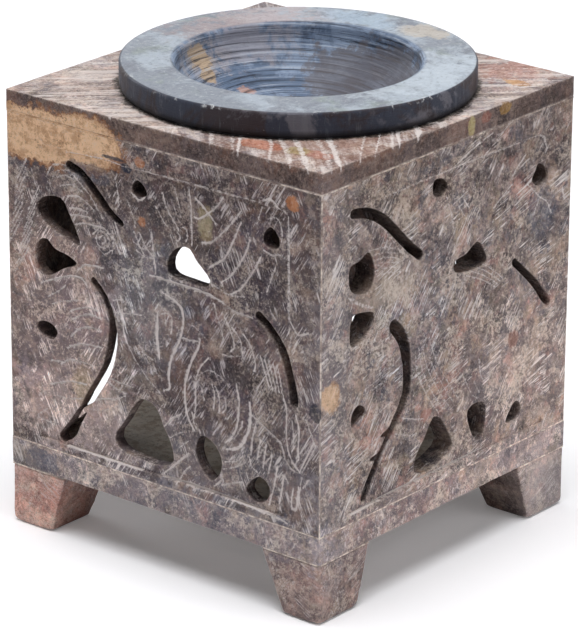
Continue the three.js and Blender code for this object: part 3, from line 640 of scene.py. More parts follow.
# %% The front wall's drawing
FRONT_STROKES = [
    # wrinkles above the trunk
    (0.45, 0.8, [(-26.4, 74.6), (-23.5, 75.4), (-20.6, 74.7)]),
    (0.5, 0.9, [(-24.6, 72.9), (-22, 73.4), (-19.8, 72.8), (-17.5, 71.5)]),
    (0.5, 1, [(-23.9, 70.5), (-21.6, 70.9), (-19.3, 70.7)]),
    (0.5, 1, [(-23.9, 69.1), (-21.3, 69.6), (-18.5, 69.7)]),
    (0.5, 0.9, [(-23.1, 67.3), (-20.1, 68.2), (-15.3, 68.4)]),
    (0.6, 0.6, [(-30, 75.8), (-28.4, 78.4), (-24.6, 79.3)]),
    (0.4, 0.5, [(-29, 74.5), (-27.3, 77.4), (-24, 78.4)]),
    (0.45, 0.7, [(-27.2, 76.2), (-25.3, 77), (-23.3, 76.8)]),
    (0.4, 0.8, [(-23.1, 77.7), (-21.3, 76.4), (-18.3, 74), (-16.5, 71.8)]),
    (0.35, 0.6, [(-19.8, 75.5), (-16.8, 72.1), (-15.3, 70.3)]),
    # eye and brow
    (0.35, 0.8, [(-17.1, 65.9), (-16.6, 67.2), (-15.4, 67.7), (-14.2, 67.1), (-13.7, 65.9), (-14.2, 64.7),
     (-15.4, 64.2), (-16.6, 64.7), (-17.1, 65.9)]),
    (0.35, 0.7, [(-16.3, 66), (-15.4, 66.8), (-14.6, 66), (-15.4, 65.2), (-16.3, 66)]),
    (0.35, 0.8, [(-17.9, 66.6), (-15.5, 68.5), (-12.7, 66.8)]),
    (0.35, 0.6, [(-17, 64.3), (-15, 63.1), (-13, 64.4)]),
    (0.35, 0.6, [(-12.8, 68.6), (-12.6, 66.2), (-12.9, 63.7)]),
    (0.35, 0.5, [(-11.7, 68.5), (-11.4, 65.8)]),
    (0.5, 0.6, [(-12, 79.6), (-11.2, 75.5), (-11.8, 72.8)]),
    (0.4, 0.6, [(-8.7, 75.5), (-7.3, 72.3), (-6.8, 70.3)]),
    (0.35, 0.8, [(-7.2, 69.6), (-5.8, 66.8), (-4.5, 65.2)]),
    (0.35, 0.8, [(-5.9, 69.8), (-4.2, 67), (-2.6, 65.8)]),
    (0.35, 0.7, [(-7.4, 67.4), (-5, 66.6), (-3, 67.6)]),
    (0.35, 0.7, [(-6.6, 65.9), (-4.4, 64.9), (-2.4, 65.2)]),
    (0.7, 0.6, [(-2.7, 71), (-2.4, 67.3), (-1.6, 62.1)]),
    # rays of the upper corner
    (0.5, 1, [(15.4, 81.6), (13.6, 79.2), (9.9, 76.2), (8.2, 76)]),
    (0.7, 0.8, [(8.7, 79.9), (11, 78.1), (13.6, 75.9)]),
    (0.55, 1, [(19.9, 79.9), (16.9, 76.2), (12.8, 72.1), (10.2, 71.4)]),
    (0.55, 1, [(19.9, 77.7), (18, 73.6), (15.8, 69.6), (12.1, 66.8)]),
    (0.5, 1, [(22.1, 74.6), (20.6, 71), (17.6, 66.6), (15, 64.4)]),
    (0.5, 1, [(24.7, 71.8), (22.8, 68.4), (19.9, 64.4), (17.3, 62.5)]),
    (0.35, 0.8, [(28.4, 70.7), (27.3, 68.1), (26.3, 65.1)]),
    (0.35, 0.7, [(25, 81.8), (24.3, 79.9), (23.7, 78.1)]),
    (0.35, 0.9, [(6.9, 81.4), (7.4, 77.3), (7.6, 70.3)]),
    (0.45, 0.8, [(0.2, 79.2), (1.3, 76.2), (4.3, 72.5)]),
    (0.45, 0.8, [(5.2, 73.4), (6.4, 72.6), (6.2, 70.6)]),
    (0.4, 0.6, [(-1.5, 76), (0.4, 73.4), (1.4, 72.6)]),
    (0.35, 0.6, [(3.3, 80.8), (4.4, 77.5), (4.8, 75.3)]),
    (0.5, 0.7, [(3.2, 72.4), (4.6, 71.2), (3.9, 70.2), (2.9, 70.8)]),
    # rims of the small openings
    (0.6, 0.9, [(25.4, 73.4), (27.3, 72.8), (29.5, 73.3)]),
    (0.7, 0.6, [(26.3, 79.8), (28.6, 80.4), (29.8, 78.6), (29.9, 76)]),
    (0.6, 0.9, [(-7.7, 77.3), (-5.8, 76.3), (-4.2, 77.3)]),
    # back and ear
    (0.8, 1, [(-3.1, 61.6), (3.6, 61.4), (10.2, 61.3), (15.4, 60.4)]),
    (0.5, 0.9, [(15.4, 60.3), (18.4, 59.2), (22.8, 59)]),
    (0.5, 0.5, [(12.5, 63.5), (17, 62.3), (21, 62.9)]),
    (0.5, 0.8, [(-10.7, 55.2), (-10.4, 51), (-10.1, 47.2)]),
    (0.35, 0.8, [(-12.7, 54), (-10.7, 54.6)]),
    (0.3, 0.8, [(-12.4, 51.6), (-9.8, 52), (-5.3, 52.7)]),
    (0.5, 0.6, [(-9.8, 47), (-7.5, 43.4), (-4.2, 40), (-0.8, 37.7)]),
    (0.4, 0.6, [(-6, 46.3), (-3.4, 43), (0, 40.6)]),
    (0.4, 0.5, [(-8.9, 45.4), (-4.8, 44.8), (-2, 44)]),
    (1.1, 0.9, [(-1.3, 54.2), (-1.5, 49), (-0.9, 44.7)]),
    (0.4, 0.8, [(-0.3, 54.2), (1, 54.6), (2.3, 54), (2.2, 50.6)]),
    (0.35, 0.7, [(0.6, 53.6), (0.9, 51.8)]),
    (0.9, 0.9, [(-0.1, 58.8), (3.2, 57.7), (5, 56.2), (5.2, 53.3), (4.1, 49.6), (2.3, 45.9),
     (1.5, 42.2), (1.7, 39.4), (0.2, 38.4)]),
    (0.8, 1, [(9.5, 51.4), (9.1, 49.6), (7.3, 46.2), (5.8, 41.8), (5.6, 38.4), (6.3, 34.7), (8, 32.2)]),
    (0.5, 0.9, [(11.7, 48.1), (9.5, 45.5), (8.4, 42.2), (8.4, 37.7), (8, 34.7)]),
    (0.8, 0.6, [(4.3, 50.5), (6.9, 50.5), (9.5, 51)]),
    (0.35, 0.6, [(7.7, 53.8), (10.8, 52.2)]),
    # haunch
    (0.4, 0.8, [(12.6, 42.9), (13.2, 40.7), (13, 38.1)]),
    (0.4, 0.8, [(13.4, 42.7), (14.3, 40.7), (14.5, 37.3)]),
    (0.4, 0.8, [(15.8, 40.9), (16.1, 38.9), (15.3, 37.8)]),
    (0.4, 0.8, [(9.7, 41.8), (10.6, 39.2)]),
    (0.4, 0.5, [(9, 43.8), (12, 45.6), (15.4, 44.6), (17.9, 42.7)]),
    (0.7, 0.9, [(18.7, 44.7), (19.3, 40.7), (18.9, 36.2), (17.6, 33.3), (16.1, 31.8)]),
    (1.2, 0.8, [(22.1, 41.7), (22.1, 37.3), (21, 34), (19.1, 31.4), (16.1, 30.3)]),
    (0.5, 0.7, [(20.4, 37.3), (19.1, 34.4), (16.9, 32.2)]),
    (0.6, 0.6, [(7.5, 35.8), (8, 33.6), (9.6, 31.9)]),
    (0.35, 0.8, [(13.2, 59.6), (13.9, 57), (15, 54.9), (15.4, 52.9)]),
    (0.4, 0.9, [(15.8, 57.5), (17.3, 54.9), (18.2, 52.1), (17.3, 50.9)]),
    (0.35, 0.7, [(17.6, 55.9), (19.5, 54), (20.4, 50.7)]),
    (0.4, 0.9, [(20.6, 55.1), (22.4, 52.9), (23.4, 49.9), (23.2, 48.3)]),
    (0.35, 0.6, [(14.8, 49.8), (17.2, 49.9), (20, 50.6)]),
    (0.35, 0.9, [(22.1, 39.4), (26.1, 37.3), (29.9, 35.3)]),
    # tail
    (0.5, 0.9, [(30.4, 45.1), (31.3, 42.2), (31.3, 37), (32.4, 33.3), (35, 30.7)]),
    (0.5, 0.8, [(33.9, 42.2), (34.7, 39.2), (34.5, 35.5), (34.7, 33.3)]),
    (0.4, 0.7, [(33, 40.7), (33.4, 35.5)]),
    (0.3, 0.9, [(38.4, 37.7), (36.5, 34), (35, 31)]),
    (0.3, 0.7, [(39, 37.4), (37, 33.6), (35.5, 30.9)]),
    (0.45, 0.8, [(30.2, 34.7), (31.3, 31.8), (33.9, 30.5), (35.2, 31)]),
    (0.6, 0.8, [(32.4, 60.7), (34.3, 58.6), (36.9, 59.6)]),
    (0.5, 0.7, [(36.4, 42), (37.6, 39.4), (38.8, 37)]),
    # zigzags over the ground
    (0.5, 0.9, [(23.7, 38), (22.8, 34.5), (22.4, 31)]),
    (0.5, 0.8, [(24.8, 34.7), (23.9, 30.3)]),
    (0.45, 0.9, [(26.2, 34), (25.4, 29)]),
    (0.3, 0.7, [(24, 30.5), (26.2, 34)]),
    (0.4, 0.9, [(27.7, 32.1), (26.8, 28.4)]),
    (0.3, 0.8, [(25.4, 29.4), (27.7, 32.3)]),
    (0.45, 1, [(29, 30), (28.3, 26.5), (27, 21.8)]),
    (0.45, 1, [(30.7, 28.8), (30, 25), (29.6, 22.8)]),
    (0.4, 0.8, [(28.9, 28), (30.7, 28.8), (31.9, 27.6)]),
    (0.6, 0.9, [(33.4, 27), (32.8, 23.8), (33.4, 22.5), (34.3, 23.6), (34.7, 27.7)]),
    (0.4, 0.7, [(35.4, 29.9), (35, 27), (34.8, 24)]),
    (0.3, 0.8, [(37.3, 29.9), (35.8, 27.7)]),
    (0.5, 1, [(4.7, 34.7), (1.7, 32.5), (0.2, 30.7)]),
    (0.5, 0.6, [(5, 31), (2.8, 29.6), (1, 28.4)]),
    (0.5, 1, [(6.9, 24.2), (5, 22.1), (3.9, 19.9)]),
    (0.6, 1, [(6.7, 27), (3.9, 24.4), (0.2, 21)]),
    (0.45, 0.6, [(6.5, 29.5), (3.9, 27.2)]),
    (0.4, 0.9, [(15, 22.5), (17.6, 23.6), (20.6, 24.7)]),
    (0.6, 0.9, [(14.8, 24.7), (14.7, 23.3), (13.2, 21.8)]),
    (0.5, 0.7, [(15.8, 27.6), (18.5, 28.4), (20.3, 30)]),
    (0.45, 0.6, [(15.4, 26), (18, 27), (20.4, 28.4)]),
    (0.5, 0.7, [(22, 30.2), (22.6, 28.4), (24, 27.8)]),
    # trunk
    (0.6, 1, [(-22, 58.1), (-20.1, 59.6), (-15.5, 60.1)]),
    (0.7, 0.9, [(-31.6, 53.3), (-27.9, 54.9), (-24.6, 56.2), (-21.3, 56.6), (-19.6, 55.4)]),
    (0.5, 0.7, [(-29.8, 50.9), (-27.2, 52.5), (-25.3, 54.2)]),
    (0.45, 0.6, [(-29, 49.4), (-25.7, 50.7), (-20.9, 52.1)]),
    (0.5, 0.9, [(-23.9, 49.2), (-20.1, 50.7), (-16.8, 50.9)]),
    (0.5, 0.9, [(-23.5, 47.5), (-21, 48.8), (-19, 49.5), (-16.1, 49.4)]),
    (0.5, 0.9, [(-22.7, 45.5), (-19.8, 46.6), (-16.4, 47)]),
    (0.45, 0.8, [(-24.2, 43.6), (-22.4, 45.3)]),
    (0.5, 0.9, [(-25.1, 41), (-21.3, 42.7), (-16.1, 43.3)]),
    (0.5, 0.8, [(-26.8, 37.3), (-23.5, 38.8), (-18.3, 38.8)]),
    (0.45, 0.8, [(-29.4, 37.3), (-26.4, 37.7)]),
    (0.5, 0.8, [(-29.8, 32.1), (-26.4, 33.3), (-23.5, 34.2), (-20.1, 34.4)]),
    (0.45, 0.6, [(-27.9, 30), (-24.6, 30.3), (-21.3, 31.2)]),
    (0.4, 0.8, [(-13.9, 37.3), (-10.5, 37), (-7.9, 37)]),
    (0.4, 0.8, [(-14.6, 36.6), (-12.4, 35.7), (-9.8, 35.1)]),
    (0.45, 0.7, [(-19, 31), (-16.1, 32.5), (-12.4, 33.3), (-9.8, 34.7)]),
    (0.4, 0.5, [(-18.5, 29.3), (-14.5, 30.6), (-11.8, 32.2)]),
    (0.5, 0.5, [(-30.9, 26.5), (-33, 24.4), (-28.5, 23.6)]),
    # frame of the field
    (0.5, 0.5, [(-24.6, 82), (-16, 82.8), (-10, 82.6)]),
    (0.7, 0.4, [(-10, 82.4), (0, 82.7), (12, 82.8), (25, 82.9)]),
    (0.8, 0.6, [(25, 83.2), (27.5, 84), (29.6, 82.6), (31.2, 81.9)]),
    (1.2, 0.5, [(31.6, 81.5), (31.7, 72), (31.9, 61)]),
    # these two lines run along the field's upward-facing step: partly a dusty groove, partly a painted
    # highlight where the step catches the light
    (0.6, 0.9, [(-25, 20.3), (-15, 20.3), (-5, 20.3)]),
    (0.8, 1, [(-0.5, 20.6), (9.9, 20.6), (17.6, 20.5), (25, 20.2), (29.5, 19.9), (32, 19.3)]),
]
FRONT_FANS = [
    # rasp marks on the left border
    (0.28, 0.6, 8, [(-39.5, 60.5), (-36.5, 65.5)],
     [(-37.2, 74), (-34.8, 78.5)]),
    (0.28, 0.6, 8, [(-38.5, 54), (-34.6, 60)],
     [(-34.5, 68), (-31.8, 73.5)]),
    # feathering below the rump
    (0.35, 0.8, 5, [(24.7, 51.8), (25.8, 48.8), (26.9, 46)],
     [(28.9, 50.9), (29.7, 47.8), (30.2, 45.4)]),
]
print("front drawing:", len(FRONT_STROKES), "lines and", len(FRONT_FANS), "fans")

# %% [markdown]
# ## The right wall
#
# This wall is the same elephant sawn again by hand, in stone with more flakes. The point has been used
# less here: a few wrinkles over the trunk, long strokes behind it, and short ones along the back.

# %% The right wall's drawing
RIGHT_STROKES = [
    # brow
    (0.4, 0.5, [(-26, 79.6), (-22, 77.4), (-18, 73.4), (-14.5, 69.4)]),
    (1.2, 0.5, [(-31, 64.9), (-27, 62.4), (-23, 60.6)]),
    # trunk
    (0.4, 0.7, [(-23.5, 37.4), (-19.8, 38.7), (-17, 39.6)]),
    (0.4, 0.7, [(-28.5, 30.8), (-24, 32.4), (-19.4, 33.9)]),
    (0.4, 0.5, [(-30, 29.6), (-25, 31), (-21.5, 32.6)]),
    (0.45, 0.5, [(-25.5, 44.6), (-21.5, 45.4), (-17.5, 46.7), (-15.5, 47.6)]),
    (0.4, 0.5, [(-23.6, 43.8), (-19.5, 44.6)]),
    (0.35, 0.6, [(-13.6, 35.1), (-9.5, 33.6), (-7, 32.9)]),
    (0.35, 0.6, [(-16, 32.5), (-12, 31), (-9, 30.4)]),
    # upper corner
    (0.6, 0.8, [(24.7, 79.2), (22.8, 77.6), (20.5, 75.8)]),
    (0.5, 0.7, [(20.2, 74), (18.3, 72.9), (14.5, 70.8)]),
    (0.4, 0.7, [(25.4, 72.8), (27.5, 71), (29.7, 69)]),
    (0.4, 0.7, [(29.4, 68.5), (28.4, 66.8), (27.8, 65.6)]),
    (0.4, 0.7, [(29.6, 69), (31.8, 67.5), (33, 65)]),
    (0.5, 0.5, [(-0.8, 77), (0.8, 73.5), (1.6, 70)]),
    (0.45, 0.4, [(1.5, 76.5), (4, 73), (6, 70.4)]),
    (0.5, 0.6, [(4.7, 75.2), (6.4, 73)]),
    (0.7, 0.7, [(36.5, 69.5), (37.5, 66.5)]),
    # haunch
    (0.5, 0.6, [(10.8, 40), (11.6, 36.5), (13, 34.6)]),
    (0.45, 0.5, [(9.3, 36), (11, 33)]),
    (0.45, 0.5, [(19.5, 36.5), (22, 34), (24, 31.5)]),
    (0.4, 0.5, [(5.8, 38), (8.6, 33.5), (10.5, 31.8)]),
    # frame of the field
    (1, 0.5, [(-20, 82.2), (-6, 82.4), (10, 82.4), (27, 82.2)]),
    (0.8, 0.5, [(27, 82.3), (30.2, 81.6), (31.3, 79)]),
    (0.7, 0.8, [(-30, 20.2), (-18, 20.6), (-4, 20.6), (12, 20.7)]),
]
RIGHT_FANS = [
    # wrinkles above the trunk
    (0.45, 0.5, 6, [(-24.5, 72.5), (-20, 72), (-16.5, 70.8)],
     [(-22.5, 66.8), (-18.5, 66.5), (-14.8, 65.6)]),
    # long strokes behind the trunk
    (0.4, 0.5, 5, [(-9.9, 48), (-9, 43), (-5.5, 37), (-2, 32.6)],
     [(-5.5, 49), (-2.5, 43), (1, 38), (4, 34)]),
    # strokes along the back
    (0.4, 0.6, 4, [(8.6, 61.5), (13.5, 58.6), (17.8, 55.3)],
     [(6, 59), (11, 56.8), (15.5, 54)]),
]
print("right drawing:", len(RIGHT_STROKES), "lines and", len(RIGHT_FANS), "fans")

# %% [markdown]
# ## Four walls
#
# The field of a measured wall has square steps at its sides, where the carver cut gentle slopes. A
# bevel would need clean edge loops, and the cells have broken those up. So the points near each step
# are moved onto a smooth ramp before anything is drawn on the wall.

# %% Ease the sides of the field
DEEP = 1.0 * MM                 # fine work stops this far under a face
FIELD_DEPTH = 0.5 * MM
FIELD_SIDE = 7.5 * MM           # plain border at each side of a field
FIELD_TOP, FIELD_BOTTOM = 4.6 * MM, 1.7 * MM
SLOPE = 1.7 * MM                # half the width of the slope down to the field
SLACK = 0.05 * MM               # how far a point may be from the height where it belongs


def ease_sides(bm, face, low, high):
    """Rub the upright steps at both sides of the field down to gentle slopes."""
    base_low, base_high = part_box("base_plate")
    half_width = (base_high - base_low).dot(Vector(map(abs, face.across))) / 2 - FIELD_SIDE
    for vert in bm.verts:
        inwards = half_width - abs(face.place(vert.co)[0])
        in_field = low.z + FIELD_BOTTOM + SLACK < vert.co.z < high.z - FIELD_TOP - SLACK
        if in_field and abs(inwards) < SLOPE and face.below(vert.co) < FIELD_DEPTH + SLACK:
            share = (inwards / SLOPE + 1) / 2
            wanted = FIELD_DEPTH * share * share * (3 - 2 * share)
            vert.co += face.outward * (face.below(vert.co) - wanted)
    bmesh.ops.remove_doubles(bm, verts=bm.verts, dist=0.02 * MM)


# %% [markdown]
# The saw leaves the sides of an opening ridged, and they are painted darker as painted shade, less where
# they look up. The flame blackens the inside above it. Marks painted by hand would be lost with every
# change of a wall. So both are told from the outer face by which way they look and by how deep they lie.

# %% Mark what is dark
SOOT_FROM, SOOT_RISE = 38 * MM, 24 * MM     # soot starts this high, and is full that much higher
SAWN_SHADE, SAWN_SOOT = 0.65, 0.25           # painted shade on a sawn side low down, and how much soot adds to it high up
LIT_FROM_ABOVE = 0.6                        # how much of that goes where the side looks up
INDOOR_DARK, INDOOR_SOOT = 0.02, 0.8        # the same for the inner face
SAWN_FROM, SAWN_FADE = 0.6, 0.3             # in mm: how deep the dark begins, and over what depth it grows


def shade_and_soot_openings(bm, face, edge=1.5 * MM):
    """Paint shade on the sawn sides of the openings, and soot on them and inside, most of it high up."""
    inside, dust = (bm.verts.layers.float[layer] for layer in ("inside", "dust"))
    bm.normal_update()
    places = [face.place(vert.co) for vert in bm.verts]
    low = Vector((min(p[0] for p in places), min(p[1] for p in places)))
    high = Vector((max(p[0] for p in places), max(p[1] for p in places)))
    for vert, place in zip(bm.verts, places):
        facing = vert.normal.dot(face.outward)
        soot = min(1, max(0, (vert.co.z - SOOT_FROM) / SOOT_RISE))
        within = all(low[i] + edge < place[i] < high[i] - edge for i in range(2))
        if within and face.below(vert.co) > SAWN_FROM * MM and abs(facing) < 0.8 and vert[dust] < HALO:
            start = min(1, (face.below(vert.co) / MM - SAWN_FROM) / SAWN_FADE)
            dark = SAWN_SHADE + SAWN_SOOT * soot
            # painted shade on the sides of the openings, less where they look up, with soot added high up
            vert[inside] = start * dark * (1 - LIT_FROM_ABOVE * max(0, vert.normal.z))
            vert[dust] *= 1 - start
        elif facing < -0.8:
            vert[inside] = INDOOR_DARK + INDOOR_SOOT * soot


# %% [markdown]
# A wall goes through the same steps whichever way it faces, so one function makes them all: cells,
# drawing, dense mesh, rubbed corners, grooves, worn corners, soot and painted shade. The rims of the
# openings are rubbed a little more than the outer corners, as a file goes round them.

# %% Make one wall
def wall(name, node, across, outward, strokes, fans, material):
    """Copy a measured wall, draw on it, and cut it."""
    bm = merged_copy(node)
    cut_cells(bm)
    face = Face(across, Z_AXIS, outward, max(vert.co.dot(outward) for vert in bm.verts))
    if strokes:
        ease_sides(bm, face, *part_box(node))
    face.draw_all(strokes, fans)
    face.sharpen()
    corners = corner_points(bm, near=lambda point: face.below(point) < DEEP)

    def distance(point):
        away = corners.find(point)[2]
        if face.below(point) < DEEP:
            away = min(away, face.tree.find(face.place(point))[2])
        return away

    refine(bm, distance)
    low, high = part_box("base_plate")
    outline = corner_points(bm, near=lambda point: min(point.x - low.x, high.x - point.x, point.y - low.y,
                                                       high.y - point.y) < 0.6 * MM)
    rims = corner_points(bm, near=lambda point: face.below(point) < DEEP and outline.find(point)[2] > MM)
    soften(bm, outline, 0.25 * MM, 1)
    soften(bm, rims, 0.3 * MM, 2)
    carve(bm, face)
    mark_corners(bm, corners)
    shade_and_soot_openings(bm, face)
    unevenness(bm)
    return finish_piece(bm, name, material, node)


# %% [markdown]
# The walls come from different slabs, so each has its own mixture: the front is darkest, and the
# right wall is full of flakes and scratches. With one mixture for all, the grain would run on round
# the corners as if the box were cut from a block, so each pattern is shifted as well. The back wall
# takes the front's drawing, and the wall with the door is left plain.

# %% Mix four stones and make the walls
VIOLET, WARM, DULL, GREYISH = srgb(88, 76, 88), srgb(106, 83, 72), srgb(82, 82, 90), srgb(92, 90, 98)
front_stone = finish_stone(*brown_stone(
    "front_soapstone", (13, 4, 7), (srgb(88, 75, 75), srgb(130, 117, 114), srgb(52, 41, 45)),
    [(VIOLET, 0.5), (WARM, 0.53), (DULL, 0.57)], flakes=0.3, speckle=0.5, scratch=0.75),
    stains_near(1, FRONT), ridges=((0.5, 0.1, 1.6), (0, 0, 0)))
wall("front_wall", "front_panel", X_AXIS, -Y_AXIS, FRONT_STROKES, FRONT_FANS, front_stone)

right_stone = finish_stone(*brown_stone(
    "right_soapstone", (40, 71, 23), (srgb(128, 112, 109), srgb(188, 170, 163), srgb(66, 54, 56)),
    [(GREYISH, 0.49), (PINK, 0.55), (TAN, 0.55), (srgb(104, 92, 86), 0.53)], flakes=0.5, speckle=0.75,
    scratch=0.95, turns=((35, 0, 0), (72, 0, 0))),
    stains_near(0, RIGHT), ridges=((0.1, 1.6, 0.5), (0, 0, 0)))
wall("right_wall", "right_panel", Y_AXIS, X_AXIS, RIGHT_STROKES, RIGHT_FANS, right_stone)

back_stone = finish_stone(*brown_stone(
    "back_soapstone", (90, 14, 51), (srgb(136, 120, 117), srgb(172, 154, 146), srgb(88, 76, 76)),
    [(VIOLET, 0.52), (WARM, 0.54), (GREYISH, 0.55)], flakes=0.4, speckle=0.7, scratch=0.6),
    [], ridges=((0.5, 0.1, 1.6), (0, 0, 0)))
wall("back_wall", "back_panel", -X_AXIS, Y_AXIS, FRONT_STROKES, FRONT_FANS, back_stone)

door_stone = finish_stone(*brown_stone(
    "door_soapstone", (22, 9, 88), (srgb(138, 122, 118), srgb(176, 158, 150), srgb(88, 76, 76)),
    [(WARM, 0.5), (GREYISH, 0.54), (PINK, 0.58)], flakes=0.5, speckle=0.7, scratch=0.6,
    turns=((30, 0, 0), (-24, 0, 0))), [], ridges=((0.1, 1.6, 0.5), (0, 0, 0)))
wall("door_wall", "door_panel", -Y_AXIS, -X_AXIS, [], [], door_stone)

# %% [markdown]
# ## The top plate
#
# The plate was rasped in from each corner towards the middle, which left pale furrows that notch its
# edges. Each furrow lies along its own corner's diagonal. They are drawn with the same point as
# the scratches, only wider, and stop under the dish.

# %% Draw the furrows
dish_low, dish_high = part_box("dish")
DISH_MIDDLE = (dish_low + dish_high) / 2
DISH_RADIUS = (dish_high.x - dish_low.x) / 2
BOLD_CORNER = (1, -1)           # the corner under the camera has fewer and bolder furrows
FURROW_REACH = 25 * MM          # how far from the diagonal the furrows go
FURROW_SPACING, BOLD_SPACING = 2.3 * MM, 3.3 * MM
SHORTEST_FURROW, LONGEST_FURROW = 3 * MM, 26 * MM
UNDER_DISH = 2 * MM             # how far the furrows run on under the dish


def chance(*seeds):
    """A number between 0 and 1 that looks random and is always the same."""
    return noise.cell(Vector([seed * 3.7 + 0.5 for seed in seeds]))


def in_sight(point):
    """Whether a point of the plate is free of the dish."""
    return (point - DISH_MIDDLE).xy.length > DISH_RADIUS - UNDER_DISH


def furrows(face, plate_low, plate_high):
    """Rows of furrows from each corner of the plate to the dish."""
    for side in ((-1, -1), (-1, 1), (1, -1), (1, 1)):
        bold = side == BOLD_CORNER
        spacing = BOLD_SPACING if bold else FURROW_SPACING
        corner = Vector((plate_high.x if side[0] > 0 else plate_low.x,
                         plate_high.y if side[1] > 0 else plate_low.y, 0))
        inwards = Vector((-side[0], -side[1], 0)).normalized()
        sideways = Vector((-inwards.y, inwards.x, 0))
        count = round(FURROW_REACH / spacing)
        for k in range(-count, count + 1):
            first, second, third = (chance(k, side[0] + 2 * side[1], seed) for seed in (1, 2, 3))
            start = corner + sideways * (k + 0.7 * (first - 0.5)) * spacing
            ragged = 0 if bold else 2.5 * second * MM
            start += inwards * (abs(start.dot(sideways) - corner.dot(sideways)) + ragged)
            turned = (inwards + sideways * 0.16 * (third - 0.5)).normalized()
            reach = SHORTEST_FURROW
            while reach < LONGEST_FURROW and in_sight(start + turned * reach):
                reach += 1 * MM
            if not bold:
                reach *= 0.55 + 0.6 * first
            bend = sideways * (second - 0.5) * 0.5 * MM
            width = (1.2 + 0.9 * third if bold else 0.45 + 0.5 * third) * MM
            strength = 0.5 + 0.35 * first if bold else 0.35 + 0.6 * second
            face.draw([start, start + turned * reach / 2 + bend, start + turned * reach], width, strength,
                      depth=0.3 * MM)


# %% [markdown]
# A plate is made as a wall is, with the same helpers. It also stores which of its faces are sides,
# because they were sawn and not rasped, and are darker. A second material for them would end in a
# hard line along the edge, and a stored value fades into the top.

# %% Make one plate
def mark_indoors(bm, middle, out_of_light):
    """Paint shade on the face of a plate that looks into the box, and tell its sides from its top."""
    inside, side = (bm.verts.layers.float[layer] for layer in ("inside", "side"))
    bm.normal_update()
    for vert in bm.verts:
        if vert.normal.z * (middle - vert.co.z) > 0 and abs(vert.normal.z) > 0.8:
            # painted shade on the face that looks into the box
            vert[inside] = out_of_light
        vert[side] = min(1, max(0, 1.6 - 2 * abs(vert.normal.z)))


def plate(name, node, material, out_of_light, fine=0.28 * MM, furrowed=False):
    """A flat slab: cut into cells, rubbed down along its edges, furrowed if it is the top."""
    bm = merged_copy(node)
    low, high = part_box(node)
    cut_cells(bm)
    face = Face(X_AXIS, Y_AXIS, Z_AXIS, high.z)
    if furrowed:
        furrows(face, low, high)
    face.sharpen()
    corners = corner_points(bm, near=lambda point: (point - DISH_MIDDLE).xy.length > DISH_RADIUS)

    def distance(point):
        away = corners.find(point)[2]
        if furrowed and face.below(point) < DEEP and in_sight(point):
            away = min(away, face.tree.find(face.place(point))[2])
        return away

    refine(bm, distance, fine=fine)
    soften(bm, corners, 0.25 * MM, 1)
    carve(bm, face)
    mark_corners(bm, corners)
    mark_indoors(bm, AIM.z, out_of_light)
    unevenness(bm, 0.07 * MM)
    return finish_piece(bm, name, material, node)


# %% [markdown]
# The rasp also left streaks between the furrows. They run along one diagonal of the plate at two of its
# corners and along the other diagonal at the other two, so the sign of x times y tells which. Next to
# the dish the plate is painted near black, as a painted shadow under the rim.

# %% Finish the plates
DIM = srgb(88, 72, 72)


def rasped(mix, colour):
    """Streaks along each corner's own diagonal."""
    spot = mix.node("SeparateXYZ", {0: mix.here})
    product = mix.math("MULTIPLY", spot.outputs[0], spot.outputs[1])
    for turn, low, high in ((-45, -80, 80), (45, 80, -80)):
        streak = mix.clouds(0.55, 5, 0.75, 0.1, mix.stretched((0.09, 1, 1), (0, 0, turn)))
        here = mix.step(product, low, high)
        colour = mix.blend(mix.math("MULTIPLY", mix.step(streak, 0.51, 0.6, 0.6), here), colour, DUST)
        colour = mix.blend(mix.math("MULTIPLY", mix.step(streak, 0.47, 0.38, 0.5), here), colour, DIM)
    return colour


TOP_STAINS = [
    ((24, -23, TOP), (15, 15, 1.6), srgb(150, 116, 104), 0.7, BROAD),
    ((19, -32, TOP), (5, 2, 1.6), srgb(204, 126, 94), 0.55, SPOT),
    ((31, -29.5, TOP), (3, 2, 1.6), srgb(192, 126, 104), 0.5, SPOT),
    ((26.5, -30.5, TOP), (2.4, 2, 1.6), srgb(170, 156, 100), 0.6, SPOT),
    ((27, 33, TOP), (6, 7, 1.6), srgb(196, 146, 134), 0.55, BROAD),
    ((32, 27, TOP), (2.6, 1.6, 1.6), srgb(210, 160, 104), 0.7, SPOT),
    ((RIGHT, 5.7, 85.4), (2, 1.0, 2), srgb(196, 184, 130), 0.7, SPOT),
    ((RIGHT, 16, 86.2), (2, 1.8, 1.0), srgb(176, 140, 80), 0.7, SPOT),
    ((RIGHT, 10, 86), (2, 1.6, 1.2), srgb(150, 90, 76), 0.6, SPOT),
    # painted shadow under the dish's rim: near black right next to the dish
    ((DISH_MIDDLE.x / MM, DISH_MIDDLE.y / MM, TOP), (34, 34, 60), srgb(26, 22, 22), 0.9, EDGE),
]
mix, colour = brown_stone(
    "top_soapstone", (5, 33, 61), (srgb(172, 154, 148), srgb(212, 196, 188), srgb(120, 104, 100)),
    [(srgb(176, 168, 172), 0.5), (srgb(150, 128, 118), 0.54), (PINK, 0.6)], flakes=0.35,
    speckle=0.6, scratch=0.4, turns=((90, 0, 40), (90, 0, -40)))
# the sawn sides of the plate are a third as bright as its rasped top
side_colour = mix.blend(1.0, colour, (0.33, 0.28, 0.27, 1), "MULTIPLY")
flecks = mix.step(mix.clouds(0.9, 6, 0.85, 0, mix.elsewhere(21)), 0.52, 0.6, 0.5)
side_colour = mix.blend(flecks, side_colour, srgb(158, 140, 130))
colour = mix.blend(mix.attribute("side"), rasped(mix, colour), side_colour)
top_stone = finish_stone(mix, colour, stains_near(1, FRONT) + TOP_STAINS)
plate("top_slab", "top_plate", top_stone, out_of_light=0.85, furrowed=True)

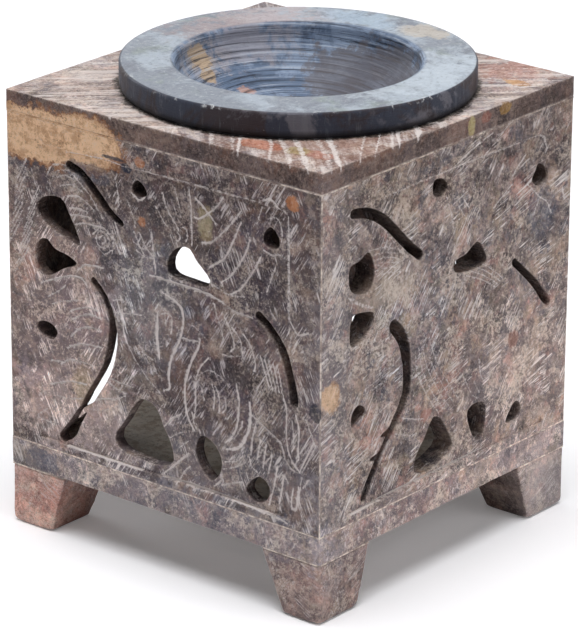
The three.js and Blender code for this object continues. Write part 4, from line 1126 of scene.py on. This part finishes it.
base_stone = finish_stone(*brown_stone(
    "base_soapstone", (77, 28, 3), (srgb(138, 122, 121), srgb(184, 168, 161), srgb(84, 72, 72)),
    [(GREYISH, 0.5), (PINK, 0.56), (TAN, 0.57)], flakes=0.5, speckle=0.8, scratch=0.6),
    stains_near(1, FRONT) + stains_near(0, RIGHT)
    # painted light: the inner face of the base made pale, as if lit through the door
    + [((0, 0, 17.3), (32, 32, 1.5), PAINTED_INNER_LIGHT, 0.9, (0.1, 0.1, True))])
plate("base_slab", "base_plate", base_stone, out_of_light=0)

# %% [markdown]
# ## Feet
#
# Each foot is an offcut: two faces in line with the box, two that slope inwards, and a sawn end.
# Their stone is redder and was rubbed smoother than the walls. A foot has no drawing, so it is only
# cut into cells, rubbed down and made a little uneven.

# %% Make the feet
FOOT_STONES = {
    "foot_front_left": (srgb(214, 172, 160), srgb(232, 202, 190), srgb(168, 122, 112), (3, 3, 3)),
    "foot_front_right": (srgb(152, 130, 126), srgb(188, 166, 156), srgb(98, 82, 80), (31, 8, 55)),
    "foot_back_right": (srgb(164, 148, 142), srgb(204, 188, 178), srgb(100, 86, 82), (62, 44, 9)),
    "foot_back_left": (srgb(146, 126, 120), srgb(172, 152, 142), srgb(112, 94, 90), (14, 81, 36)),
}


SHADE_UNDER_FRONT, SHADE_UNDER_BACK = 0.36, 0.6     # painted shade on the sides of a foot that look in under the box


def shade_under_foot(bm, node):
    """Paint shade on the sides of a foot that look in under the burner."""
    low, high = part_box(node)
    middle = (low + high) / 2
    inwards = Vector((-math.copysign(1, middle.x), -math.copysign(1, middle.y), 0))
    inside = bm.verts.layers.float["inside"]
    bm.normal_update()
    for vert in bm.verts:
        if vert.normal.dot(inwards) > 0.6:
            # painted shade under the box
            vert[inside] = SHADE_UNDER_BACK if "back" in node else SHADE_UNDER_FRONT


for node, (*tones, shift) in FOOT_STONES.items():
    red_stone = finish_stone(*brown_stone(
        node + "_soapstone", shift, tones, [(tones[2], 0.52), (srgb(150, 112, 104), 0.56)], flakes=0.3,
        speckle=0.55, scratch=0.45, turns=((0, 62, 0), (62, 0, 0))), [], roughness=(0.42, 0.66))
    bm = merged_copy(node)
    cut_cells(bm, 1.2 * MM)
    corners = corner_points(bm)
    refine(bm, lambda point: corners.find(point)[2], fine=0.35 * MM)
    attributes(bm)
    soften(bm, corners, 1.1 * MM, 7)
    mark_corners(bm, corners)
    shade_under_foot(bm, node)
    unevenness(bm, 0.1 * MM, 120)
    finish_piece(bm, node + "_stone", red_stone, node)

# %% [markdown]
# ## Cement
#
# A thin bed of pale cement joins the slabs. On the real burner it was wiped off nearly level with
# the stone, so each joint shows as a fine pale line, broken where stone dust has filled it. Each bed is
# copied from its measured piece and spread outwards by a tenth of a millimetre. It takes the same
# stains as the walls, because the sandy patch runs over the joint.

# %% Make the cement beds
JOINT_SPREAD = 1.003            # sideways only: 37.85 mm becomes 37.96, just behind the stone's 38
chalk = Recipe("chalky_cement")
crumb = chalk.clouds(0.8, 6, 0.7)
chalk_colour = chalk.blend(chalk.step(crumb, 0.4, 0.6), srgb(172, 152, 142), srgb(238, 226, 214))
chalk_colour = chalk.blend(chalk.step(chalk.clouds(0.14, 5, 0.7, 0, chalk.elsewhere(3)), 0.5, 0.56, 0.7),
                           chalk_colour, srgb(120, 104, 100))
cement_finish = finish_stone(chalk, chalk_colour, stains_near(1, FRONT), roughness=(0.8, 0.95))
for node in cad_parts:
    if node.startswith("cement_"):
        bm = merged_copy(node)
        bmesh.ops.scale(bm, vec=(JOINT_SPREAD, JOINT_SPREAD, 1), verts=bm.verts)
        attributes(bm)
        finish_piece(bm, node.replace("cement_", "") + "_joint", cement_finish, node)

# %% [markdown]
# ## The dish
#
# The dish is turned on a lathe: a flat rim, and a bowl that hangs through the plate. The tool left
# about two dozen low terraces in the bowl. Half of its section is drawn as a line of points and spun
# all the way round, as the lathe does. The terraces are in that line, so they are real steps and
# catch the light.

# %% Turn the dish
RIM_THICKNESS = 5.1 * MM
EDGE_BREAK = 0.4 * MM
BOWL_RADIUS = 22.9 * MM
BOWL_DEPTH = 12 * MM
LIP_ROUND = 1.2 * MM
BOSS_RADIUS = 26.1 * MM
BELLY_FOOT = 10 * MM
BELLY_FULLNESS = 0.6
PLATE_THICKNESS = 4 * MM
TERRACE = 1.05 * MM             # the tool's travel from one terrace to the next
TERRACE_HEIGHT = 0.07 * MM
TURNS, BOWL_STEPS = 220, 150    # round the dish, and from its middle to the lip
SEAT_BREAK = 0.8 * MM           # the lower edge is rubbed rounder than the upper one


def bowl_section(top):
    """From the middle of the bowl up to its lip, with the terraces."""
    points, travelled, last = [], 0.0, None
    for i in range(BOWL_STEPS + 1):
        angle = math.pi / 2 * i / BOWL_STEPS
        spot = Vector((BOWL_RADIUS * math.sin(angle), 0,
                       top - LIP_ROUND - (BOWL_DEPTH - LIP_ROUND) * math.cos(angle)))
        inwards = Vector((-math.sin(angle), 0, math.cos(angle)))
        travelled += (spot - last).length if last else 0
        last = spot
        saw = (travelled / TERRACE + 1.1 * noise.noise(Vector((travelled / MM * 0.3, 4, 0)))) % 1
        step = saw if saw < 0.8 else (1 - saw) * 4
        hush = min(1, i / 12) * min(1, (BOWL_STEPS - i) / 6)
        points.append(spot + inwards * TERRACE_HEIGHT * step * hush)
    return points


# %% [markdown]
# The rest of the section follows the measured sizes: a round lip, the flat rim with its broken edges,
# the seat on the plate, and the belly, which swells in one smooth curve down to a flat foot. Each
# edge has a radius of its own, so they are rounded in the section and not with a bevel afterwards.

# %% Draw the rest of the section, and spin it
def at(across, height):
    """A point of the section."""
    return Vector((across, 0, height))


def rounded(start, corner, end, count):
    """A quarter turn that leaves the start towards the corner and reaches the end from it."""
    angles = [math.pi / 2 * i / count for i in range(1, count + 1)]
    return [start + (corner - start) * math.sin(angle) + (end - corner) * (1 - math.cos(angle))
            for angle in angles]


def straight(start, end, count):
    """Evenly spaced points along a line, without its start."""
    return [start.lerp(end, i / count) for i in range(1, count + 1)]


def dish_section(low, high):
    """The whole half section: bowl, lip, rim, side, underside and belly."""
    top, seat, bottom = high.z, high.z - RIM_THICKNESS, low.z
    lip_end, rim_end = BOWL_RADIUS + LIP_ROUND, DISH_RADIUS - EDGE_BREAK
    points = bowl_section(top)
    points += rounded(at(BOWL_RADIUS, top - LIP_ROUND), at(BOWL_RADIUS, top), at(lip_end, top), 8)
    points += straight(at(lip_end, top), at(rim_end, top), 24)
    points += rounded(at(rim_end, top), at(DISH_RADIUS, top), at(DISH_RADIUS, top - EDGE_BREAK), 3)
    points += straight(points[-1], at(DISH_RADIUS, seat + SEAT_BREAK), 10)
    points += rounded(points[-1], at(DISH_RADIUS, seat), at(DISH_RADIUS - SEAT_BREAK, seat), 4)
    shoulder = at(BOSS_RADIUS, seat - PLATE_THICKNESS)
    points += [at(BOSS_RADIUS, seat), shoulder]
    foot = at(BELLY_FOOT, bottom)
    full = at(BELLY_FOOT + (BOSS_RADIUS - BELLY_FOOT) * BELLY_FULLNESS, bottom)
    rise = at(BOSS_RADIUS, (shoulder.z + bottom) / 2)
    for i in range(1, 13):
        t = i / 12
        points.append(shoulder * (1 - t) ** 3 + rise * 3 * t * (1 - t) ** 2
                      + full * 3 * t * t * (1 - t) + foot * t ** 3)
    return points + [at(0, bottom)]


bm = bmesh.new()
section = [bm.verts.new(point) for point in dish_section(dish_low, dish_high)]
line = [bm.edges.new(pair) for pair in zip(section, section[1:])]
bmesh.ops.spin(bm, geom=section + line, cent=(0, 0, 0), axis=Z_AXIS, dvec=(0, 0, 0),
               angle=2 * math.pi, steps=TURNS, use_merge=True)
bmesh.ops.remove_doubles(bm, verts=bm.verts, dist=0.002 * MM)
bmesh.ops.translate(bm, verts=bm.verts, vec=(DISH_MIDDLE.x, DISH_MIDDLE.y, 0))
bmesh.ops.recalc_face_normals(bm, faces=bm.faces)
attributes(bm)
print("dish spun from", len(line), "lengths of section")

# %% [markdown]
# The dish's stone is another kind: slate blue with brown clouds, pale where it was sanded on top and
# nearly black on its side. Turning lines come from noise that only changes with the distance from
# the middle, so they run round the dish. The larger clouds are set by place, as stains were.

# %% Colours of the dish
blue = Recipe("blue_soapstone", (8, 19, 2))
from_middle = blue.node("VectorMath", {0: blue.here, 1: (DISH_MIDDLE.x / MM, DISH_MIDDLE.y / MM, 0)},
                        operation="SUBTRACT").outputs[0]
apart = blue.node("SeparateXYZ", {0: from_middle})
flat_place = blue.node("CombineXYZ", {0: apart.outputs[0], 1: apart.outputs[1]}).outputs[0]
radius = blue.node("VectorMath", {0: flat_place}, operation="LENGTH").outputs["Value"]
round_place = blue.node("CombineXYZ", {0: radius, 1: apart.outputs[2]}).outputs[0]
# a little of the place itself, so that a turning line breaks off after a while
round_place = blue.node("VectorMath", {0: flat_place, 1: (0.05, 0.05, 0), 2: round_place},
                        operation="MULTIPLY_ADD").outputs[0]
turning = blue.clouds(1.5, 5, 0.8, 0, round_place)
rubbed = blue.clouds(0.9, 6, 0.8, 0.3)


def cloud(colour, tone, scale, low, high, most, k):
    """Let one colour through in clouds."""
    shown = blue.step(blue.clouds(scale, 7, 0.68, 0.5, blue.elsewhere(k)), low, high, most)
    return blue.blend(shown, colour, tone)


on_rim = cloud(srgb(138, 144, 154), srgb(170, 179, 190), 0.05, 0.45, 0.56, 0.9, 1)
on_rim = cloud(on_rim, srgb(120, 124, 134), 0.1, 0.52, 0.6, 0.7, 2)
on_rim = cloud(on_rim, srgb(140, 150, 146), 0.08, 0.53, 0.62, 0.6, 3)
in_bowl = cloud(srgb(96, 112, 136), srgb(140, 156, 180), 0.09, 0.46, 0.58, 0.85, 4)
in_bowl = cloud(in_bowl, srgb(70, 76, 92), 0.16, 0.54, 0.64, 0.6, 5)
DISH_PATCHES = [
    # (centre, reach, colour, strength, how it ends), for the rim and then for the bowl
    [((-18, 14, RIM), (10, 11, 3), srgb(176, 162, 164), 0.8, BROAD),
     ((-22, 3, RIM), (7, 7, 3), srgb(150, 136, 138), 0.7, BROAD),
     ((9.5, 28.3, RIM), (6, 3.4, 3), srgb(190, 180, 168), 0.75, SPOT),
     ((-5, 27, RIM), (8, 4, 3), srgb(168, 186, 204), 0.7, BROAD),
     # a painted sheen: the pale blue patch on the right of the rim
     ((27, 6, RIM), (7, 14, 3), srgb(192, 202, 212), 0.6, BROAD)],
    [((-18.5, 8.5, 89.3), (7, 10, 3.6), srgb(168, 162, 168), 0.6, BROAD),
     ((-20, -4.5, 88.5), (4, 6, 4), srgb(168, 162, 164), 0.7, BROAD),
     ((-20.6, -3.2, 88.6), (2.6, 3, 2.6), srgb(196, 170, 140), 0.85, SPOT),
     ((-18, -3.4, 85.6), (1.6, 2, 1.4), srgb(190, 160, 120), 0.7, SPOT),
     ((-12, 1.3, 82.6), (1.8, 1.8, 1), srgb(196, 150, 128), 0.7, SPOT)],
]

# %% [markdown]
# The dish is finished in the order of the real work: clouds of the stone first, then the turning
# lines, then the rubbed rim, and last the dark side, with a painted shadow along its lower edge, and the
# small chips along its upper edge.

# %% Finish the dish
def patched(colour, patches):
    """Lay the chosen patches over a colour."""
    for centre, reach, tone, strength, (ragged, soft, boxy) in patches:
        colour = blue.blend(blue.patch(centre, reach, ragged, soft, boxy, strength), colour, tone)
    return colour


# from the middle of the dish and from the table, in millimetres: where one finish turns into another
BOWL_EDGE, OUTER_EDGE, CHIPPED_EDGE = (24.2, 23.4), (33.0, 33.3), (32.6, 33.1)
PAINTED_SHADOW_BELOW, CHIPPED_ABOVE = (89.2, 87.9), (91.6, 92.2)
on_rim, in_bowl = (patched(colour, patches) for colour, patches in zip((on_rim, in_bowl), DISH_PATCHES))
in_bowl = blue.lay(in_bowl, srgb(36, 40, 50), turning, 0.5, 0.4, 0.9)
in_bowl = blue.lay(in_bowl, srgb(180, 187, 198), turning, 0.54, 0.62, 0.65)
in_bowl = patched(in_bowl, [((6, 16.5, 85), (15, 10.5, 7), srgb(98, 92, 94), 0.7, (0.6, 0.25, False))])
on_rim = blue.lay(on_rim, srgb(206, 212, 216), rubbed, 0.54, 0.64, 0.4)
on_rim = blue.lay(on_rim, srgb(96, 102, 110), rubbed, 0.46, 0.36, 0.5)
colour = blue.lay(on_rim, in_bowl, radius, *BOWL_EDGE)
# the side: slate and brown, streaked from top to bottom, and painted near black along its lower edge as a
# painted shadow
streak = blue.clouds(0.8, 5, 0.75, 0.1, blue.stretched((1, 1, 0.14)))
browner = blue.step(blue.clouds(0.07, 6, 0.66, 0.5, blue.elsewhere(8)), 0.46, 0.54)
on_side = blue.blend(browner, srgb(56, 60, 73), srgb(58, 51, 55))
on_side = blue.lay(on_side, srgb(120, 126, 134), streak, 0.56, 0.66, 0.25)
on_side = blue.lay(on_side, srgb(34, 32, 38), streak, 0.45, 0.36, 0.3)
on_side = cloud(on_side, srgb(120, 118, 126), 0.06, 0.54, 0.62, 0.6, 17)
# painted shadow along the lower edge of the side, where the dish sits on the plate
on_side = blue.lay(on_side, srgb(14, 12, 14), apart.outputs[2], *PAINTED_SHADOW_BELOW, 0.8)
colour = blue.lay(colour, on_side, radius, *OUTER_EDGE)
nick = blue.step(blue.clouds(1.1, 5, 0.85, 0.3, blue.elsewhere(11)), 0.67, 0.71, 0.85)
at_edge = blue.math("MULTIPLY", blue.step(radius, *CHIPPED_EDGE),
                    blue.step(apart.outputs[2], *CHIPPED_ABOVE))
where_chipped = blue.step(blue.clouds(0.12, 5, 0.7, 0, blue.elsewhere(19)), 0.5, 0.6)
broken = blue.math("MULTIPLY", where_chipped, blue.step(rubbed, 0.5, 0.6, 0.9))
chipped = blue.math("MULTIPLY", at_edge, broken)
colour = blue.blend(blue.math("MAXIMUM", nick, chipped), colour, srgb(214, 216, 218))
lines = blue.math("ADD", turning, blue.math("MULTIPLY", rubbed, 0.5))
bump = blue.node("Bump", {"Strength": 0.6, "Distance": 0.25 * MM, "Height": lines}).outputs[0]
rough = blue.node("MapRange", {"Value": blue.clouds(0.3, 5), "From Min": 0.3, "From Max": 0.7,
                               "To Min": 0.38, "To Max": 0.6}).outputs[0]
shader = blue.node("BsdfPrincipled", {"Base Color": colour, "Roughness": rough, "Normal": bump,
                                      "Specular IOR Level": STONE_GLOSS})
blue.node("OutputMaterial", {"Surface": shader.outputs[0]})
print(blue.material.name, "is mixed from", len(blue.tree.nodes), "nodes")
finish_piece(bm, "turned_dish", blue.material, "dish")

# %% [markdown]
# ## Floor and light
#
# The burner stands on a white table. White paper photographs grey where less light falls on it. More
# light would lift it, and the stone too. So the table also glows a little, but only for the camera:
# the glow lights nothing, and the shadow stays.

# %% Lay the floor
FLOOR_SIZE = 3000 * MM
TABLE_GLOW = 0.1
bm = bmesh.new()
bmesh.ops.create_grid(bm, x_segments=4, y_segments=4, size=FLOOR_SIZE / 2)
mesh = bpy.data.meshes.new("white_table")
bm.to_mesh(mesh)
bm.free()
floor = bpy.data.objects.new("white_table", mesh)
bpy.context.scene.collection.objects.link(floor)
table = Recipe("white_table")
seen = table.node("LightPath").outputs["Is Camera Ray"]
paper = table.node("BsdfPrincipled", {"Base Color": srgb(251, 251, 254), "Roughness": 0.8,
                                      "Specular IOR Level": 0.1})
glow = table.node("Emission", {"Color": (1, 1, 1, 1),
                               "Strength": table.math("MULTIPLY", seen, TABLE_GLOW)})
both = table.node("AddShader", {0: paper.outputs[0], 1: glow.outputs[0]})
table.node("OutputMaterial", {"Surface": both.outputs[0]})
mesh.materials.append(table.material)
print("table laid,", FLOOR_SIZE, "m wide")

# %% [markdown]
# A large lamp hangs almost right over the burner. A weaker one on the right and one on the door's
# side fill in, and a very weak one the front, so the top is brightest, the right wall next and the
# front wall darkest. The lamps are wide discs, because large lamps make soft shadows.

# %% Hang the lamps
LAMPS = [
    # name, azimuth, elevation, distance, size and power in watts
    ("sky_lamp", 20, 83, 1600, 1200, 26),
    ("right_lamp", 100, 30, 1500, 900, 4.4),
    ("front_lamp", 5, 30, 1500, 900, 0.6),
    ("door_lamp", -95, 16, 1500, 700, 6),
]
for name, azimuth, elevation, distance, size, power in LAMPS:
    lamp = bpy.data.lights.new(name, "AREA")
    lamp.shape, lamp.size, lamp.energy = "DISK", size * MM, power
    lamp_object = bpy.data.objects.new(name, lamp)
    bpy.context.scene.collection.objects.link(lamp_object)
    away = direction(math.radians(azimuth), math.radians(elevation))
    look_at(lamp_object, AIM + away * distance * MM, AIM)
print(len(LAMPS), "lamps hung")

# %% [markdown]
# The world is white to the camera and in reflections, and gives almost no light itself, so that the
# background is clean and the stone isn't washed out.

# %% Make the world white
FILL_LIGHT = 0.08               # how strong the white world is as a light
world = bpy.data.worlds.new("studio")
bpy.context.scene.world = world
world.use_nodes = True
nodes, links = world.node_tree.nodes, world.node_tree.links
nodes.clear()
path = nodes.new("ShaderNodeLightPath")
shows = path.outputs["Is Camera Ray"]
for ray in ("Is Glossy Ray", "Is Transmission Ray"):
    either = nodes.new("ShaderNodeMath")
    either.operation = "MAXIMUM"
    links.new(shows, either.inputs[0])
    links.new(path.outputs[ray], either.inputs[1])
    shows = either.outputs[0]
strength = nodes.new("ShaderNodeMapRange")
links.new(shows, strength.inputs["Value"])
strength.inputs["To Min"].default_value = FILL_LIGHT
strength.inputs["To Max"].default_value = 1.0
background = nodes.new("ShaderNodeBackground")
background.inputs["Color"].default_value = (1, 1, 1, 1)
links.new(strength.outputs[0], background.inputs["Strength"])
surface = nodes.new("ShaderNodeOutputWorld")
links.new(background.outputs[0], surface.inputs["Surface"])
print("the world lights with a strength of", FILL_LIGHT)
